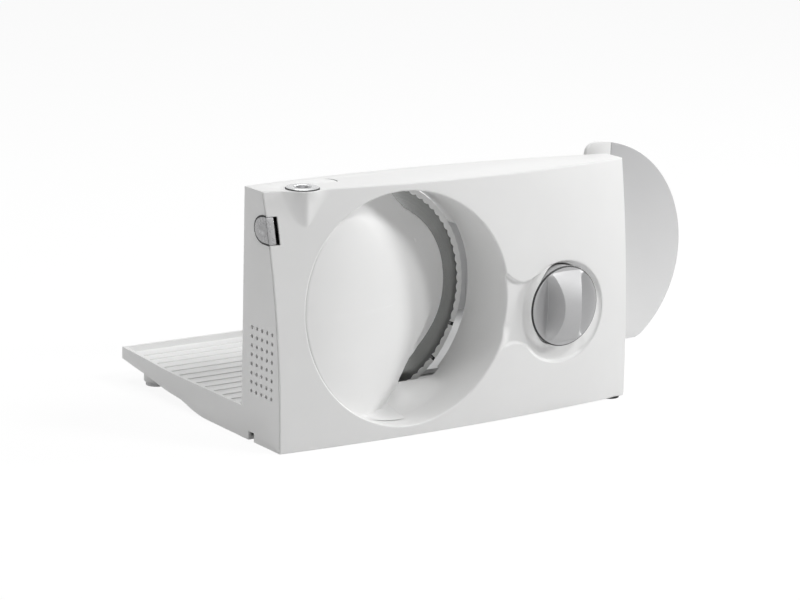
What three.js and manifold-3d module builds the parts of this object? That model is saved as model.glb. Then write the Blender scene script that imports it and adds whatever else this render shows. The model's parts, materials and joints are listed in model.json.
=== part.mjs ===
// Electric food slicer, millimetres, +Z up, the front face looks along -Y.
// Drawn from the bottom front left corner of the upright and moved to the middle at the end.
import * as THREE from 'three';
import { mergeVertices } from 'three/addons/utils/BufferGeometryUtils.js';
import Module from 'manifold-3d';

// blade and bore
const BLADE_R = 85;
const BLADE_T = 1.5;
const BLADE_FACE = 53;
const BEVEL = 5.8;
const TEETH = 45;
const BORE_R = BLADE_R;
const SKIRT_T = 1.8;
const SKIRT_END = 41;
const GUARD_CLEAR = 2;
const RIM_LEFT = 21.8;
const RIM_LOW = 8.8;
const RIM_TOP = 5.2;
const SETTING_W = 120.2;
const AXIS_X = RIM_LEFT + BLADE_R;
const AXIS_Z = RIM_LOW + BLADE_R;
const SILL_Z = RIM_LOW + 19.2;

// upright
const W = AXIS_X + BLADE_R + SETTING_W;
const H = AXIS_Z + BLADE_R + RIM_TOP;
const EDGE = 1.5;
const WALL = 2.5;
const SEAM = 0.3;
const LEAN_LEFT = 27.8;
const LEAN_RIGHT = 14.8;
const LEAN_POWER = 2.108;
const BOW_LOW = 7.8;
const BOW_RISE = 10.5;
const BACK_LEFT = 52.5;
const BACK_RIGHT = 34;
const BACK_BOW = 12.8;
const PLATE_BACK = 33.5;
const MIDDLE_WALL = 48.8;

// slice guide
const GUIDE_R = BLADE_R - 20.5;
const GUIDE_T = 2.4;
const GUIDE_EDGE_Y = 46;
const GUIDE_CURVE = 1.6;
const GUIDE_NOSE = 12;

// base and table
const TABLE_FRONT = 54.5;
const TABLE_END = 228;
const TABLE_TOP = 22;
const TABLE_LIP = 26.6;
const RIB_PITCH = 12.4;
const RIB_FIRST = 64;
const RIB_W = 3.4;
const RIB_H = 1.4;
const LEG_Y = TABLE_END - 23;
const LEG_IN = 17;
const FOOT_R = 8;

// vents and cord outlet
const VENT_COLS = 5;
const VENT_ROWS = 8;
const VENT_Y = 13;
const VENT_Z = 37.4;
const VENT_PITCH = 6.7;
const VENT_R = 1.35;
const NOTCH_Y = 36.5;
const NOTCH_W = 8.6;
const NOTCH_H = 8;

// drive
const BLADE_TEETH = 42;
const SMALL_TEETH = 12;
const COARSE = 1.5;
const BIG_TEETH = 36;
const PINION_TEETH = 10;
const FINE = 1.5;
const IDLER_TURN = 220;
const MOTOR_TURN = 215;
const MOTOR_R = 19;
const MOTOR_Y0 = 9.6;
const CAN_T = 1.6;
const AIR_GAP = 1;
const GEAR_PLATE_Y = 29;
const GEAR_PLATE_T = 2.5;
const ARBOR_R = 5;
const AXLE_R = 3;
const SHAFT_R = 2;
const CAP_R = 18;

// thickness setting
const PLATE_T = 3;
const PLATE_FACE = 48;
const PLATE_ARC = BLADE_R + 3.2;
const PLATE_LOW = 31;
const PLATE_HIGH = H - 12;
const WING_R = BLADE_R + 2.5;
const WING_X = W - 0.8;
const WING_Z = H - 80.7;
const WING_SPLIT = W + 13.2;
const WING_CORNER = W - 10.8;
const KNOB_X = AXIS_X + BLADE_R + 50.2;
const KNOB_Z = AXIS_Z - 11.8;
const KNOB_R = 30.6;
const KNOB_BACK = 0.5;
const KNOB_RIM = -8.5;
const KNOB_FRONT = -19;
const GRIP_W = 15.2;
const GRIP_FLARE = 5;
const CROWN_R = 40;
const BOWL_X = KNOB_X + 1;
const BOWL_Z = KNOB_Z - 5.5;
const BOWL_R = KNOB_R + 8.4;
const BOWL_FLOOR = 3.2;
const SPINDLE_R = 5;
const PIN_R = 4;
const PINS = [[KNOB_X + 20, KNOB_Z + 68], [KNOB_X + 42, KNOB_Z - 36]];

// buttons
const BUTTON_X = 32;
const BUTTON_Y = 29.5;
const RING_R = 12.2;
const RING_IN = 8.3;
const BUTTON_R = 7.9;
const PLUNGER_R = 2.2;
const POD_TIP = [BUTTON_X - 1.7, H - 25];
const POD_R = 13.5;
const POD_OUT = 4.5;
const LOCK_Z0 = H - 36;
const LOCK_Z1 = H - 16;
const LOCK_BACK = 38;
const LOCK_OUT = 0.8;
const LOCK_LIP = 5.6;
const LOCK_GAP = 3.2;

// carriage
const CAR_X0 = W - 160;
const CAR_X1 = W - 6;
const CAR_Y0 = 58;
const CAR_Y1 = TABLE_END - 14;
const CAR_T = 3;
const FENCE_TOP = AXIS_Z + 10.2;
const FENCE_T = 3;

const wasm = await Module();
wasm.setup();

const lerp = (a, b, t) => a + (b - a) * t;
const rad = (deg) => deg * Math.PI / 180;
const smooth = (t) => {
  const c = Math.min(1, Math.max(0, t));
  return c * c * (3 - 2 * c);
};

function frontY(x, z) {
  const u = (x - W / 2) / (W / 2);
  const h = Math.max(0, z) / H;
  const lean = lerp(LEAN_LEFT, LEAN_RIGHT, x / W) * Math.pow(h, LEAN_POWER);
  return lean - (BOW_LOW + BOW_RISE * h) * (1 - u * u);
}

function backY(x) {
  const u = (x - W / 2) / (W / 2);
  return lerp(BACK_LEFT, BACK_RIGHT, x / W) + BACK_BOW * (1 - u * u);
}

function solid(geometry) {
  const bare = geometry.clone();
  bare.deleteAttribute('normal');
  bare.deleteAttribute('uv');
  const merged = mergeVertices(bare, 1e-4);
  return new wasm.Manifold(new wasm.Mesh({
    numProp: 3,
    vertProperties: new Float32Array(merged.attributes.position.array),
    triVerts: new Uint32Array(merged.index.array),
  }));
}

const join = (first, ...rest) => rest.reduce((a, b) => a.add(b), first);
const cut = (first, ...rest) => rest.reduce((a, b) => a.subtract(b), first);

function box(x0, x1, y0, y1, z0, z1) {
  const g = new THREE.BoxGeometry(x1 - x0, y1 - y0, z1 - z0);
  g.translate((x0 + x1) / 2, (y0 + y1) / 2, (z0 + z1) / 2);
  return solid(g);
}

function rodY(x, z, r, y0, y1, n = 18) {
  const g = new THREE.CylinderGeometry(r, r, y1 - y0, n);
  g.translate(x, (y0 + y1) / 2, z);
  return solid(g);
}

function rodZ(x, y, r, z0, z1, n = 18) {
  const g = new THREE.CylinderGeometry(r, r, z1 - z0, n);
  g.rotateX(Math.PI / 2);
  g.translate(x, y, (z0 + z1) / 2);
  return solid(g);
}

function rodX(y, z, r, x0, x1, n = 18) {
  const g = new THREE.CylinderGeometry(r, r, x1 - x0, n);
  g.rotateZ(Math.PI / 2);
  g.translate((x0 + x1) / 2, y, z);
  return solid(g);
}

const tubeY = (x, z, rIn, rOut, y0, y1, n = 18) =>
  cut(rodY(x, z, rOut, y0, y1, n), rodY(x, z, rIn, y0 - 1, y1 + 1, n));

function outline(points) {
  return new THREE.Shape(points.map(([a, b]) => new THREE.Vector2(a, b)));
}

function plateY(points, y0, y1) {
  const g = new THREE.ExtrudeGeometry(outline(points), { depth: y1 - y0, bevelEnabled: false });
  g.rotateX(Math.PI / 2);
  g.translate(0, y1, 0);
  return solid(g);
}

function plateX(points, x0, x1) {
  const g = new THREE.ExtrudeGeometry(outline(points), { depth: x1 - x0, bevelEnabled: false });
  g.applyMatrix4(new THREE.Matrix4().set(0, 0, 1, x0, 1, 0, 0, 0, 0, 1, 0, 0, 0, 0, 0, 1));
  return solid(g);
}

function plateZ(points, z0, z1) {
  const g = new THREE.ExtrudeGeometry(outline(points), { depth: z1 - z0, bevelEnabled: false });
  g.translate(0, 0, z0);
  return solid(g);
}

// turned piece about a line along Y, profile as radius and y
function turnedY(x, z, profile, n = 48) {
  const g = new THREE.LatheGeometry(profile.map(([r, y]) => new THREE.Vector2(r, y)), n);
  g.translate(x, 0, z);
  return solid(g);
}

function turnedZ(x, y, profile, n = 32) {
  const g = new THREE.LatheGeometry(profile.map(([r, z]) => new THREE.Vector2(r, z)), n);
  g.rotateX(Math.PI / 2);
  g.translate(x, y, 0);
  return solid(g);
}

// closed skin between a near and a far surface over a grid of columns and rows
function gridSolid(columns, rows, place, near, far, wrap) {
  const positions = [];
  const index = [];
  const nc = columns.length;
  const nr = rows.length;
  for (const depth of [near, far]) {
    for (const r of rows) {
      for (const c of columns) {
        const [x, z] = place(c, r);
        positions.push(x, depth(x, z, c, r), z);
      }
    }
  }
  const at = (side, i, j) => side * nc * nr + j * nc + (i % nc);
  const quad = (a, b, c, d) => index.push(a, b, c, a, c, d);
  const ni = wrap ? nc : nc - 1;
  for (let j = 0; j < nr - 1; j += 1) {
    for (let i = 0; i < ni; i += 1) {
      quad(at(0, i, j), at(0, i + 1, j), at(0, i + 1, j + 1), at(0, i, j + 1));
      quad(at(1, i, j), at(1, i, j + 1), at(1, i + 1, j + 1), at(1, i + 1, j));
    }
  }
  for (let i = 0; i < ni; i += 1) {
    quad(at(0, i, 0), at(1, i, 0), at(1, i + 1, 0), at(0, i + 1, 0));
    quad(at(0, i, nr - 1), at(0, i + 1, nr - 1), at(1, i + 1, nr - 1), at(1, i, nr - 1));
  }
  for (let j = 0; j < nr - 1 && !wrap; j += 1) {
    quad(at(0, 0, j), at(0, 0, j + 1), at(1, 0, j + 1), at(1, 0, j));
    quad(at(0, nc - 1, j), at(1, nc - 1, j), at(1, nc - 1, j + 1), at(0, nc - 1, j + 1));
  }
  const g = new THREE.BufferGeometry();
  g.setAttribute('position', new THREE.Float32BufferAttribute(positions, 3));
  g.setIndex(index);
  return solid(g);
}

const steps = (a, b, n) => Array.from({ length: n + 1 }, (_, i) => lerp(a, b, i / n));

function arc(x, z, r, from, to, n) {
  return steps(from, to, n).map((t) => [x + r * Math.cos(rad(t)), z + r * Math.sin(rad(t))]);
}

function gear(x, z, teeth, module, y0, y1, phase) {
  const pitch = teeth * module / 2;
  const half = Math.PI / teeth / 2 * 0.84;
  const points = [];
  for (let i = 0; i < teeth; i += 1) {
    const mid = rad(phase) + i * 2 * Math.PI / teeth;
    for (const [dr, k] of [[-1.2, -1.45], [0.85, -0.5], [0.85, 0.5], [-1.2, 1.45]]) {
      const r = pitch + dr * module;
      points.push([x + r * Math.cos(mid + k * half), z + r * Math.sin(mid + k * half)]);
    }
  }
  return plateY(points, y0, y1);
}

function coil(start, along, length, r, wire, turns) {
  const side = new THREE.Vector3(along.y, along.z, along.x);
  const other = new THREE.Vector3().crossVectors(along, side);
  class Helix extends THREE.Curve {
    getPoint(t, target = new THREE.Vector3()) {
      const a = t * turns * 2 * Math.PI;
      target.copy(start).addScaledVector(along, t * length);
      return target.addScaledVector(side, r * Math.cos(a)).addScaledVector(other, r * Math.sin(a));
    }
  }
  const ring = outline(arc(0, 0, wire, 0, 288, 4));
  return solid(new THREE.ExtrudeGeometry(ring, {
    steps: turns * 8, extrudePath: new Helix(), bevelEnabled: false,
  }));
}

function screwY(x, z, y, dir, length) {
  const head = rodY(x, z, 3, Math.min(y, y - dir * 1.6), Math.max(y, y - dir * 1.6), 12);
  const y1 = y + dir * length;
  const shank = rodY(x, z, 1.3, Math.min(y - dir * 0.8, y1), Math.max(y - dir * 0.8, y1), 8);
  const slot = box(x - 2.2, x + 2.2, y - dir * 1.6 - 0.6, y - dir * 1.6 + 0.6, z - 0.4, z + 0.4);
  return cut(join(head, shank), slot);
}

const root = new THREE.Group();
const WING_END = WING_X + WING_R;
const SHIFT = [-(WING_END - LOCK_OUT) / 2, -(TABLE_END + KNOB_FRONT) / 2, 0];
const WHITE = [0xf1f1ef, 0.45, 0];
const GREY = [0xb9bcbd, 0.5, 0];
const SILVER = [0xc4c6c8, 0.3, 0.7];
const STEEL = [0x8d9093, 0.25, 1];
const BLACK = [0x1c1c1d, 0.85, 0];
const NATURAL = [0xe4dfd0, 0.55, 0];

function put(name, body, [color, roughness, metalness]) {
  const mesh = body.getMesh();
  const g = new THREE.BufferGeometry();
  g.setAttribute('position', new THREE.Float32BufferAttribute(mesh.vertProperties, 3));
  g.setIndex(new THREE.Uint32BufferAttribute(mesh.triVerts, 1));
  g.translate(...SHIFT);
  g.computeVertexNormals();
  const node = new THREE.Mesh(g, new THREE.MeshStandardMaterial({ color, roughness, metalness }));
  node.name = name;
  root.add(node);
}

const columns = steps(0, W, 14);
const rowsUp = steps(EDGE, H, 9);
const inFront = gridSolid(
  [-10, ...columns, W + 10], [-6, ...rowsUp, H + 6], (c, r) => [c, r], () => -90, frontY,
);
const wallStart = (x, z) => frontY(x, z) + WALL + SEAM;

// housing with the fixed table
const tableSide = [
  [TABLE_END, TABLE_LIP], [TABLE_END - 1, 17.5], [TABLE_END - 36, 13.6], [TABLE_END - 66, 9.6],
  [TABLE_END - 88, 8.1], [TABLE_END - 103, 4.8], [TABLE_END - 125, 1.7],
];
const sideTop = [
  [TABLE_FRONT, TABLE_TOP + RIB_H], [TABLE_END - 78, TABLE_TOP + RIB_H], [TABLE_END - 33, TABLE_LIP - 1.2],
];
const leftSide = [
  ...rowsUp.map((z) => [wallStart(0, z), z]),
  [BACK_LEFT, H], [BACK_LEFT, TABLE_TOP + RIB_H],
  ...sideTop, ...tableSide, [BACK_LEFT, EDGE],
];
const rightEnd = [...rowsUp.map((z) => [wallStart(W, z), z]), [PLATE_BACK, H], [PLATE_BACK, EDGE]];
const across = columns;
const topPlan = [
  ...across.map((x) => [x, wallStart(x, H)]),
  ...across.slice().reverse().map((x) => [x, backY(x)]),
];
const floorPlan = [
  ...across.map((x) => [x, wallStart(x, EDGE)]), [W, TABLE_FRONT + WALL], [0, TABLE_FRONT + WALL],
];

function guideRim(turn) {
  const spread = turn > 0 ? smooth((turn - 66) / 34) : smooth((-turn - 50) / 36);
  return lerp(GUIDE_R, BORE_R - SEAM, spread);
}

const guideTurns = steps(-180, 180, 40).slice(0, -1);
const GUARD_R = BLADE_R + GUARD_CLEAR;
const middleRim = guideTurns.map((t) => {
  const open = guideRim(t) < BORE_R - 1 ? guideRim(t) - 1 : GUARD_R + 1.5;
  const r = Math.abs(t) < 86 ? GUIDE_R - 7.5 : open;
  return [AXIS_X + r * Math.cos(rad(t)), AXIS_Z + r * Math.sin(rad(t))];
});

const idlerGap = (BLADE_TEETH + SMALL_TEETH) * COARSE / 2;
const motorGap = (BIG_TEETH + PINION_TEETH) * FINE / 2;
const IDLER_X = AXIS_X + idlerGap * Math.cos(rad(IDLER_TURN));
const IDLER_Z = AXIS_Z + idlerGap * Math.sin(rad(IDLER_TURN));
const MOTOR_X = IDLER_X + motorGap * Math.cos(rad(MOTOR_TURN));
const MOTOR_Z = IDLER_Z + motorGap * Math.sin(rad(MOTOR_TURN));
const byAxis = ([x, z]) => [AXIS_X + x, AXIS_Z + z];
const PLATE_BOSSES = [[-76.8, -23.8], [-44.8, -68.8], [-22.8, 35.2]].map(byAxis);
const FRONT_BOSSES = [[10, H - 64], [10, 32], [W - 10, 20], [W - 10, H - 19]];
const GUIDE_POSTS = [[24.2, 40.2], [24.2, -40.8], [-69.8, 2.2]].map(byAxis);
const gearFace = GEAR_PLATE_Y + GEAR_PLATE_T;
const middleInside = MIDDLE_WALL - WALL;

let housing = join(
  plateX(leftSide, 0, WALL),
  plateX(rightEnd, W - WALL, W),
  plateX([[TABLE_FRONT, EDGE], ...sideTop, ...tableSide], W - WALL, W),
  plateZ(topPlan, H - WALL, H),
  plateZ(floorPlan, EDGE, EDGE + WALL),
  cut(box(0, AXIS_X, BACK_LEFT - WALL, BACK_LEFT, EDGE, H), rodY(AXIS_X, AXIS_Z, GUARD_R, 0, 60, 72)),
  tubeY(AXIS_X, AXIS_Z, GUARD_R, GUARD_R + WALL, middleInside, BACK_LEFT, 72)
    .subtract(box(AXIS_X, W + 5, 0, 80, -5, H + 5)),
  plateY(middleRim, middleInside, MIDDLE_WALL),
  cut(
    box(AXIS_X - 1, W, PLATE_BACK - WALL, PLATE_BACK, EDGE, H),
    rodY(AXIS_X, AXIS_Z, BORE_R + SKIRT_T + 0.6, 0, 60, 72),
  ),
  box(0, W, TABLE_FRONT, TABLE_FRONT + WALL, EDGE, TABLE_TOP),
  box(0, 18, BACK_LEFT - 1, TABLE_FRONT + 1, EDGE, TABLE_TOP),
  box(0, W, TABLE_FRONT, TABLE_END - 0.5, TABLE_TOP - WALL, TABLE_TOP),
  box(0, W, TABLE_END - WALL, TABLE_END, 17.5, TABLE_LIP),
);
for (let y = RIB_FIRST; y < TABLE_END - 10; y += RIB_PITCH) {
  housing = housing.add(box(5, W - 5, y - RIB_W / 2, y + RIB_W / 2, TABLE_TOP - 0.5, TABLE_TOP + RIB_H));
}
for (const x of [LEG_IN, W - LEG_IN]) {
  housing = housing.add(rodZ(x, LEG_Y, FOOT_R + 1.5, 3, TABLE_TOP - 1));
}
for (const [x, z] of PLATE_BOSSES) {
  housing = housing.add(rodY(x, z, 3.6, gearFace + SEAM, middleInside + 0.6, 12));
  housing = housing.subtract(rodY(x, z, 1.7, gearFace - 1, gearFace + 9, 8));
}
for (const [x, z] of PINS) {
  housing = housing.add(rodY(x, z, PIN_R + 4.5, 21, PLATE_BACK - 1));
  housing = housing.subtract(rodY(x, z, PIN_R + 2.5, 0, 60));
}
for (const [x, z] of FRONT_BOSSES) {
  const rear = x < AXIS_X ? BACK_LEFT : PLATE_BACK;
  housing = housing.add(rodY(x, z, 4, frontY(x, z) + 9, rear - 1, 12));
  housing = housing.subtract(rodY(x, z, 1.7, 0, rear + 1, 8));
}
for (let c = 0; c < VENT_COLS; c += 1) {
  for (let r = 0; r < VENT_ROWS; r += 1) {
    const hole = rodX(VENT_Y + c * VENT_PITCH, VENT_Z + r * VENT_PITCH, VENT_R, -1, WALL + 1, 6);
    housing = housing.subtract(hole);
  }
}
for (const [x, z] of GUIDE_POSTS) {
  housing = housing.subtract(rodY(x, z, 1.7, 40, 60, 8));
}
const notchY0 = NOTCH_Y - NOTCH_W / 2;
const lockCut = (play) => box(-1, WALL + 1, 0, LOCK_BACK + play, LOCK_Z0 - play, LOCK_Z1 + play);
housing = cut(
  housing,
  rodY(AXIS_X, AXIS_Z, ARBOR_R + 3, 40, 60),
  rodY(KNOB_X, KNOB_Z, SPINDLE_R + 5, 20, 60),
  rodZ(BUTTON_X, BUTTON_Y, BUTTON_R + 1, H - 10, H + 5),
  box(-1, WALL + 1, notchY0, notchY0 + NOTCH_W, -1, NOTCH_H),
  lockCut(0.4),
);
put('housing', housing, WHITE);

// front cover with the bore skirt, the knob bowl and the button pod
const coverSkin = gridSolid(
  columns, rowsUp, (c, r) => [c, r], frontY, (x, z) => frontY(x, z) + WALL,
);
const skirt = cut(
  tubeY(AXIS_X, AXIS_Z, BORE_R, BORE_R + SKIRT_T, -60, SKIRT_END, 72),
  inFront,
  box(-10, 70, 9, 80, -10, H + 10),
);
const bowlBack = rodY(BOWL_X, BOWL_Z, BOWL_R + 3, -60, BOWL_FLOOR + WALL, 48).subtract(inFront);
const bowl = turnedY(BOWL_X, BOWL_Z, [
  [0, -60], [BOWL_R + 2, -60], [BOWL_R + 2, -9], [BOWL_R - 1, -5], [BOWL_R - 5, 0],
  [BOWL_R - 9, BOWL_FLOOR], [0, BOWL_FLOOR],
]);
const sillCut = plateY(guideTurns.map((t) => {
  const r = guideRim(t) + 0.4;
  return [AXIS_X + r * Math.cos(rad(t)), AXIS_Z + r * Math.sin(rad(t))];
}), 0, 60);
const sill = cut(
  rodY(AXIS_X, AXIS_Z, BORE_R + SKIRT_T / 2, SKIRT_END - WALL, SKIRT_END, 72),
  sillCut,
  box(0, W, 0, 60, SILL_Z, H + 10),
  box(0, AXIS_X, 0, 60, -10, H),
);
const podFront = frontY(BUTTON_X, H) - POD_OUT;
const podRim = arc(BUTTON_X, podFront + POD_R, POD_R, 0, 360, 28).slice(0, -1);
const podTip = [POD_TIP[0], frontY(...POD_TIP) + 1, POD_TIP[1]];
function cone(rim, z, tip) {
  const positions = [...rim.flatMap(([x, y]) => [x, y, z]), ...tip];
  const index = [];
  for (let i = 1; i < rim.length - 1; i += 1) {
    index.push(0, i, i + 1);
  }
  for (let i = 0; i < rim.length; i += 1) {
    index.push(rim.length, (i + 1) % rim.length, i);
  }
  const g = new THREE.BufferGeometry();
  g.setAttribute('position', new THREE.Float32BufferAttribute(positions, 3));
  g.setIndex(index);
  return solid(g);
}
const coverZone = gridSolid(
  columns, rowsUp, (c, r) => [c, r], () => -80, (x, z) => frontY(x, z) + WALL,
);
const pod = cone(podRim, H, podTip).intersect(coverZone);
let cover = cut(join(coverSkin, bowlBack), rodY(AXIS_X, AXIS_Z, BORE_R, -60, 60, 72));
cover = cut(
  join(cover, skirt, pod, sill),
  bowl,
  rodY(KNOB_X, KNOB_Z, SPINDLE_R + 0.4, -30, 30),
  rodZ(BUTTON_X, BUTTON_Y, BUTTON_R + 1, H - 14, H + 5),
  box(-1, LOCK_LIP + LOCK_GAP, -20, 60, LOCK_Z0 - 0.4, LOCK_Z1 + 0.4),
);
for (const [x, z] of FRONT_BOSSES) {
  const boss = rodY(x, z, 4, frontY(x, z) + 1.5, frontY(x, z) + 9 - SEAM, 12);
  cover = cover.add(boss.subtract(rodY(x, z, 1.7, frontY(x, z) + 5, 60, 8)));
}
put('front_cover', cover, WHITE);

// slice guide over the drive
function guideY(x, z) {
  const dz = z - AXIS_Z;
  const left = AXIS_X - BLADE_R;
  const edge = AXIS_X + Math.sqrt(Math.max(GUIDE_R * GUIDE_R - dz * dz, GUIDE_NOSE * GUIDE_NOSE));
  const along = Math.min(1, Math.max(0, (x - left) / (edge - left)));
  return lerp(frontY(x, z) + 0.6, GUIDE_EDGE_Y, along ** GUIDE_CURVE);
}
const guideRows = [0.02, 0.34, 0.5, 0.62, 0.74, 0.86, 1];
const onGuide = (turn, share) => {
  const r = guideRim(turn) * share;
  return [AXIS_X + r * Math.cos(rad(turn)), AXIS_Z + r * Math.sin(rad(turn))];
};
const guideColumns = guideTurns.slice().reverse();
const guideHub = guideY(AXIS_X, AXIS_Z);
const guideFill = gridSolid(
  guideColumns, guideRows, onGuide, () => -60, (x, z) => guideY(x, z) + GUIDE_T / 2, true,
);
let guide = join(
  gridSolid(guideColumns, guideRows, onGuide, guideY, (x, z) => guideY(x, z) + GUIDE_T, true),
  rodY(AXIS_X, AXIS_Z, 3, guideHub, guideHub + GUIDE_T, 12),
);
for (const [x, z] of GUIDE_POSTS) {
  const post = rodY(x, z, 3.4, -10, middleInside - SEAM, 12).subtract(guideFill);
  guide = guide.add(post).subtract(rodY(x, z, 1.4, middleInside - 8, 60, 8));
}
put('slice_guide', guide, WHITE);
GUIDE_POSTS.forEach(([x, z], i) => {
  put(`guide_screw_${i + 1}`, screwY(x, z, MIDDLE_WALL + 0.2, -1, 9), STEEL);
});
FRONT_BOSSES.forEach(([x, z], i) => {
  const rear = x < AXIS_X ? BACK_LEFT : PLATE_BACK;
  put(`cover_screw_${i + 1}`, screwY(x, z, rear + 0.2, -1, rear - frontY(x, z) - 5.8), STEEL);
});

// blade, arbor and drive
const bladeFront = BLADE_FACE - BLADE_T;
let blade = turnedY(AXIS_X, AXIS_Z, [
  [ARBOR_R + 0.3, bladeFront], [BLADE_R - BEVEL, bladeFront], [BLADE_R, BLADE_FACE - 0.4],
  [BLADE_R, BLADE_FACE], [ARBOR_R + 0.3, BLADE_FACE], [ARBOR_R + 0.3, bladeFront],
], 90);
for (let i = 0; i < TEETH; i += 1) {
  const a = (i + 0.5) * 2 * Math.PI / TEETH;
  const r = BLADE_R + 1.4;
  blade = blade.subtract(rodY(AXIS_X + r * Math.cos(a), AXIS_Z + r * Math.sin(a), 2.6, 40, 60, 6));
}
put('blade', blade, STEEL);
const idlerPhase = IDLER_TURN + 180 + 180 / SMALL_TEETH;
put('blade_gear', cut(
  join(
    gear(AXIS_X, AXIS_Z, BLADE_TEETH, COARSE, 38.2, 43.8, IDLER_TURN),
    rodY(AXIS_X, AXIS_Z, 11, 37.2, 45),
  ),
  rodY(AXIS_X, AXIS_Z, ARBOR_R + SEAM, 20, 60),
), NATURAL);
put('blade_arbor', join(
  rodY(AXIS_X, AXIS_Z, ARBOR_R, gearFace - 5, BLADE_FACE + 1.5),
  rodY(AXIS_X, AXIS_Z, 13, MIDDLE_WALL + 0.5, bladeFront - SEAM, 32),
), STEEL);
put('arbor_bush_rear', tubeY(
  AXIS_X, AXIS_Z, ARBOR_R + SEAM, ARBOR_R + 2.7, middleInside - 0.8, MIDDLE_WALL,
), NATURAL);
put('arbor_bush_front', tubeY(
  AXIS_X, AXIS_Z, ARBOR_R + SEAM, ARBOR_R + 2.7, GEAR_PLATE_Y - 1, gearFace + 3,
), NATURAL);
put('blade_cap', cut(
  join(
    turnedY(AXIS_X, AXIS_Z, [
      [0, BLADE_FACE + SEAM], [CAP_R, BLADE_FACE + SEAM], [CAP_R, BLADE_FACE + 1.6],
      [CAP_R - 2, BLADE_FACE + 2.6], [0, BLADE_FACE + 2.6],
    ], 36),
    box(AXIS_X - 14, AXIS_X + 14, BLADE_FACE + 1, BLADE_FACE + 4, AXIS_Z - 3, AXIS_Z + 3),
  ),
  rodY(AXIS_X, AXIS_Z, ARBOR_R + SEAM, 40, BLADE_FACE + 1.8),
), GREY);
put('idler_gear', cut(
  join(
    gear(IDLER_X, IDLER_Z, SMALL_TEETH, COARSE, 36.4, 44, idlerPhase),
    gear(IDLER_X, IDLER_Z, BIG_TEETH, FINE, gearFace + 0.6, 36.6, MOTOR_TURN),
  ),
  rodY(IDLER_X, IDLER_Z, AXLE_R + SEAM, 20, 60),
), NATURAL);
put('idler_axle', rodY(IDLER_X, IDLER_Z, AXLE_R, GEAR_PLATE_Y - 1, middleInside - SEAM, 16), STEEL);
put('motor_pinion', cut(
  gear(MOTOR_X, MOTOR_Z, PINION_TEETH, FINE, gearFace + 0.8, 36.4, MOTOR_TURN + 180 + 180 / PINION_TEETH),
  rodY(MOTOR_X, MOTOR_Z, SHAFT_R + SEAM, 20, 60, 16),
), STEEL);
const motorBack = GEAR_PLATE_Y - SEAM;
put('motor_shaft', rodY(MOTOR_X, MOTOR_Z, SHAFT_R, MOTOR_Y0 - 0.7, 37.5, 16), STEEL);
put('motor', cut(
  join(
    rodY(MOTOR_X, MOTOR_Z, MOTOR_R, MOTOR_Y0, motorBack, 32),
    rodY(MOTOR_X, MOTOR_Z, SHAFT_R + 6, MOTOR_Y0 - 2, motorBack - 1),
  ),
  rodY(MOTOR_X, MOTOR_Z, MOTOR_R - CAN_T, MOTOR_Y0 + CAN_T, 60, 32),
  rodY(MOTOR_X, MOTOR_Z, SHAFT_R + SEAM, MOTOR_Y0 - 1, 60, 16),
), SILVER);
put('motor_armature', cut(
  rodY(MOTOR_X, MOTOR_Z, MOTOR_R - CAN_T - AIR_GAP, MOTOR_Y0 + CAN_T + AIR_GAP, motorBack - AIR_GAP, 32),
  rodY(MOTOR_X, MOTOR_Z, SHAFT_R + SEAM, 0, 60, 16),
), STEEL);
const gearPlateRim = [
  [-82.8, -29.8], [-82.8, -15.8], [-72.8, -13.8], [-48.8, -3.8], [-30.8, 40.2], [-16.8, 42.2], [1.2, 18.2],
  [17.2, 6.2], [17.2, -7.8], [5.2, -13.8], [-30.8, -55.8], [-38.8, -73.8], [-50.8, -73.8], [-66.8, -69.8],
  [-82.8, -57.8],
].map(byAxis);
let gearPlate = cut(
  plateY(gearPlateRim, GEAR_PLATE_Y, gearFace),
  rodY(AXIS_X, AXIS_Z, ARBOR_R + 3, 0, 60),
  rodY(IDLER_X, IDLER_Z, AXLE_R + SEAM, 0, 60, 16),
  rodY(MOTOR_X, MOTOR_Z, PINION_TEETH * FINE / 2 + 2, 0, 60),
);
for (const [x, z] of PLATE_BOSSES) {
  gearPlate = gearPlate.subtract(rodY(x, z, 1.7, 0, 60, 8));
}
put('gear_plate', gearPlate, STEEL);
PLATE_BOSSES.forEach(([x, z], i) => {
  put(`gear_plate_screw_${i + 1}`, screwY(x, z, GEAR_PLATE_Y - 0.2, 1, 9), STEEL);
});

// thickness setting
const plateFront = PLATE_FACE - PLATE_T;
const low = Math.asin((PLATE_LOW - AXIS_Z) / PLATE_ARC) * 180 / Math.PI;
const high = Math.asin((PLATE_HIGH - AXIS_Z) / PLATE_ARC) * 180 / Math.PI;
const wingTop = (x) => WING_Z + Math.sqrt(WING_R * WING_R - (x - WING_X) * (x - WING_X));
const innerEdge = arc(AXIS_X, AXIS_Z, PLATE_ARC, high, low, 28);
const lipEdge = arc(AXIS_X, AXIS_Z, PLATE_ARC + 2, low, high, 28);
const carrierRim = [
  ...innerEdge,
  [WING_SPLIT, PLATE_LOW], [WING_SPLIT, wingTop(WING_SPLIT)], [WING_SPLIT - 8, wingTop(WING_SPLIT - 8)],
  [WING_X, wingTop(WING_X)], [WING_CORNER + 4.5, wingTop(WING_X) - 1.5],
  [WING_CORNER + 1.2, wingTop(WING_X) - 4.1],
  [WING_CORNER, wingTop(WING_X) - 8.1], [WING_CORNER, PLATE_HIGH + 4], [WING_CORNER - 4, PLATE_HIGH],
].reverse();
const nutEnd = 28;
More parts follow.
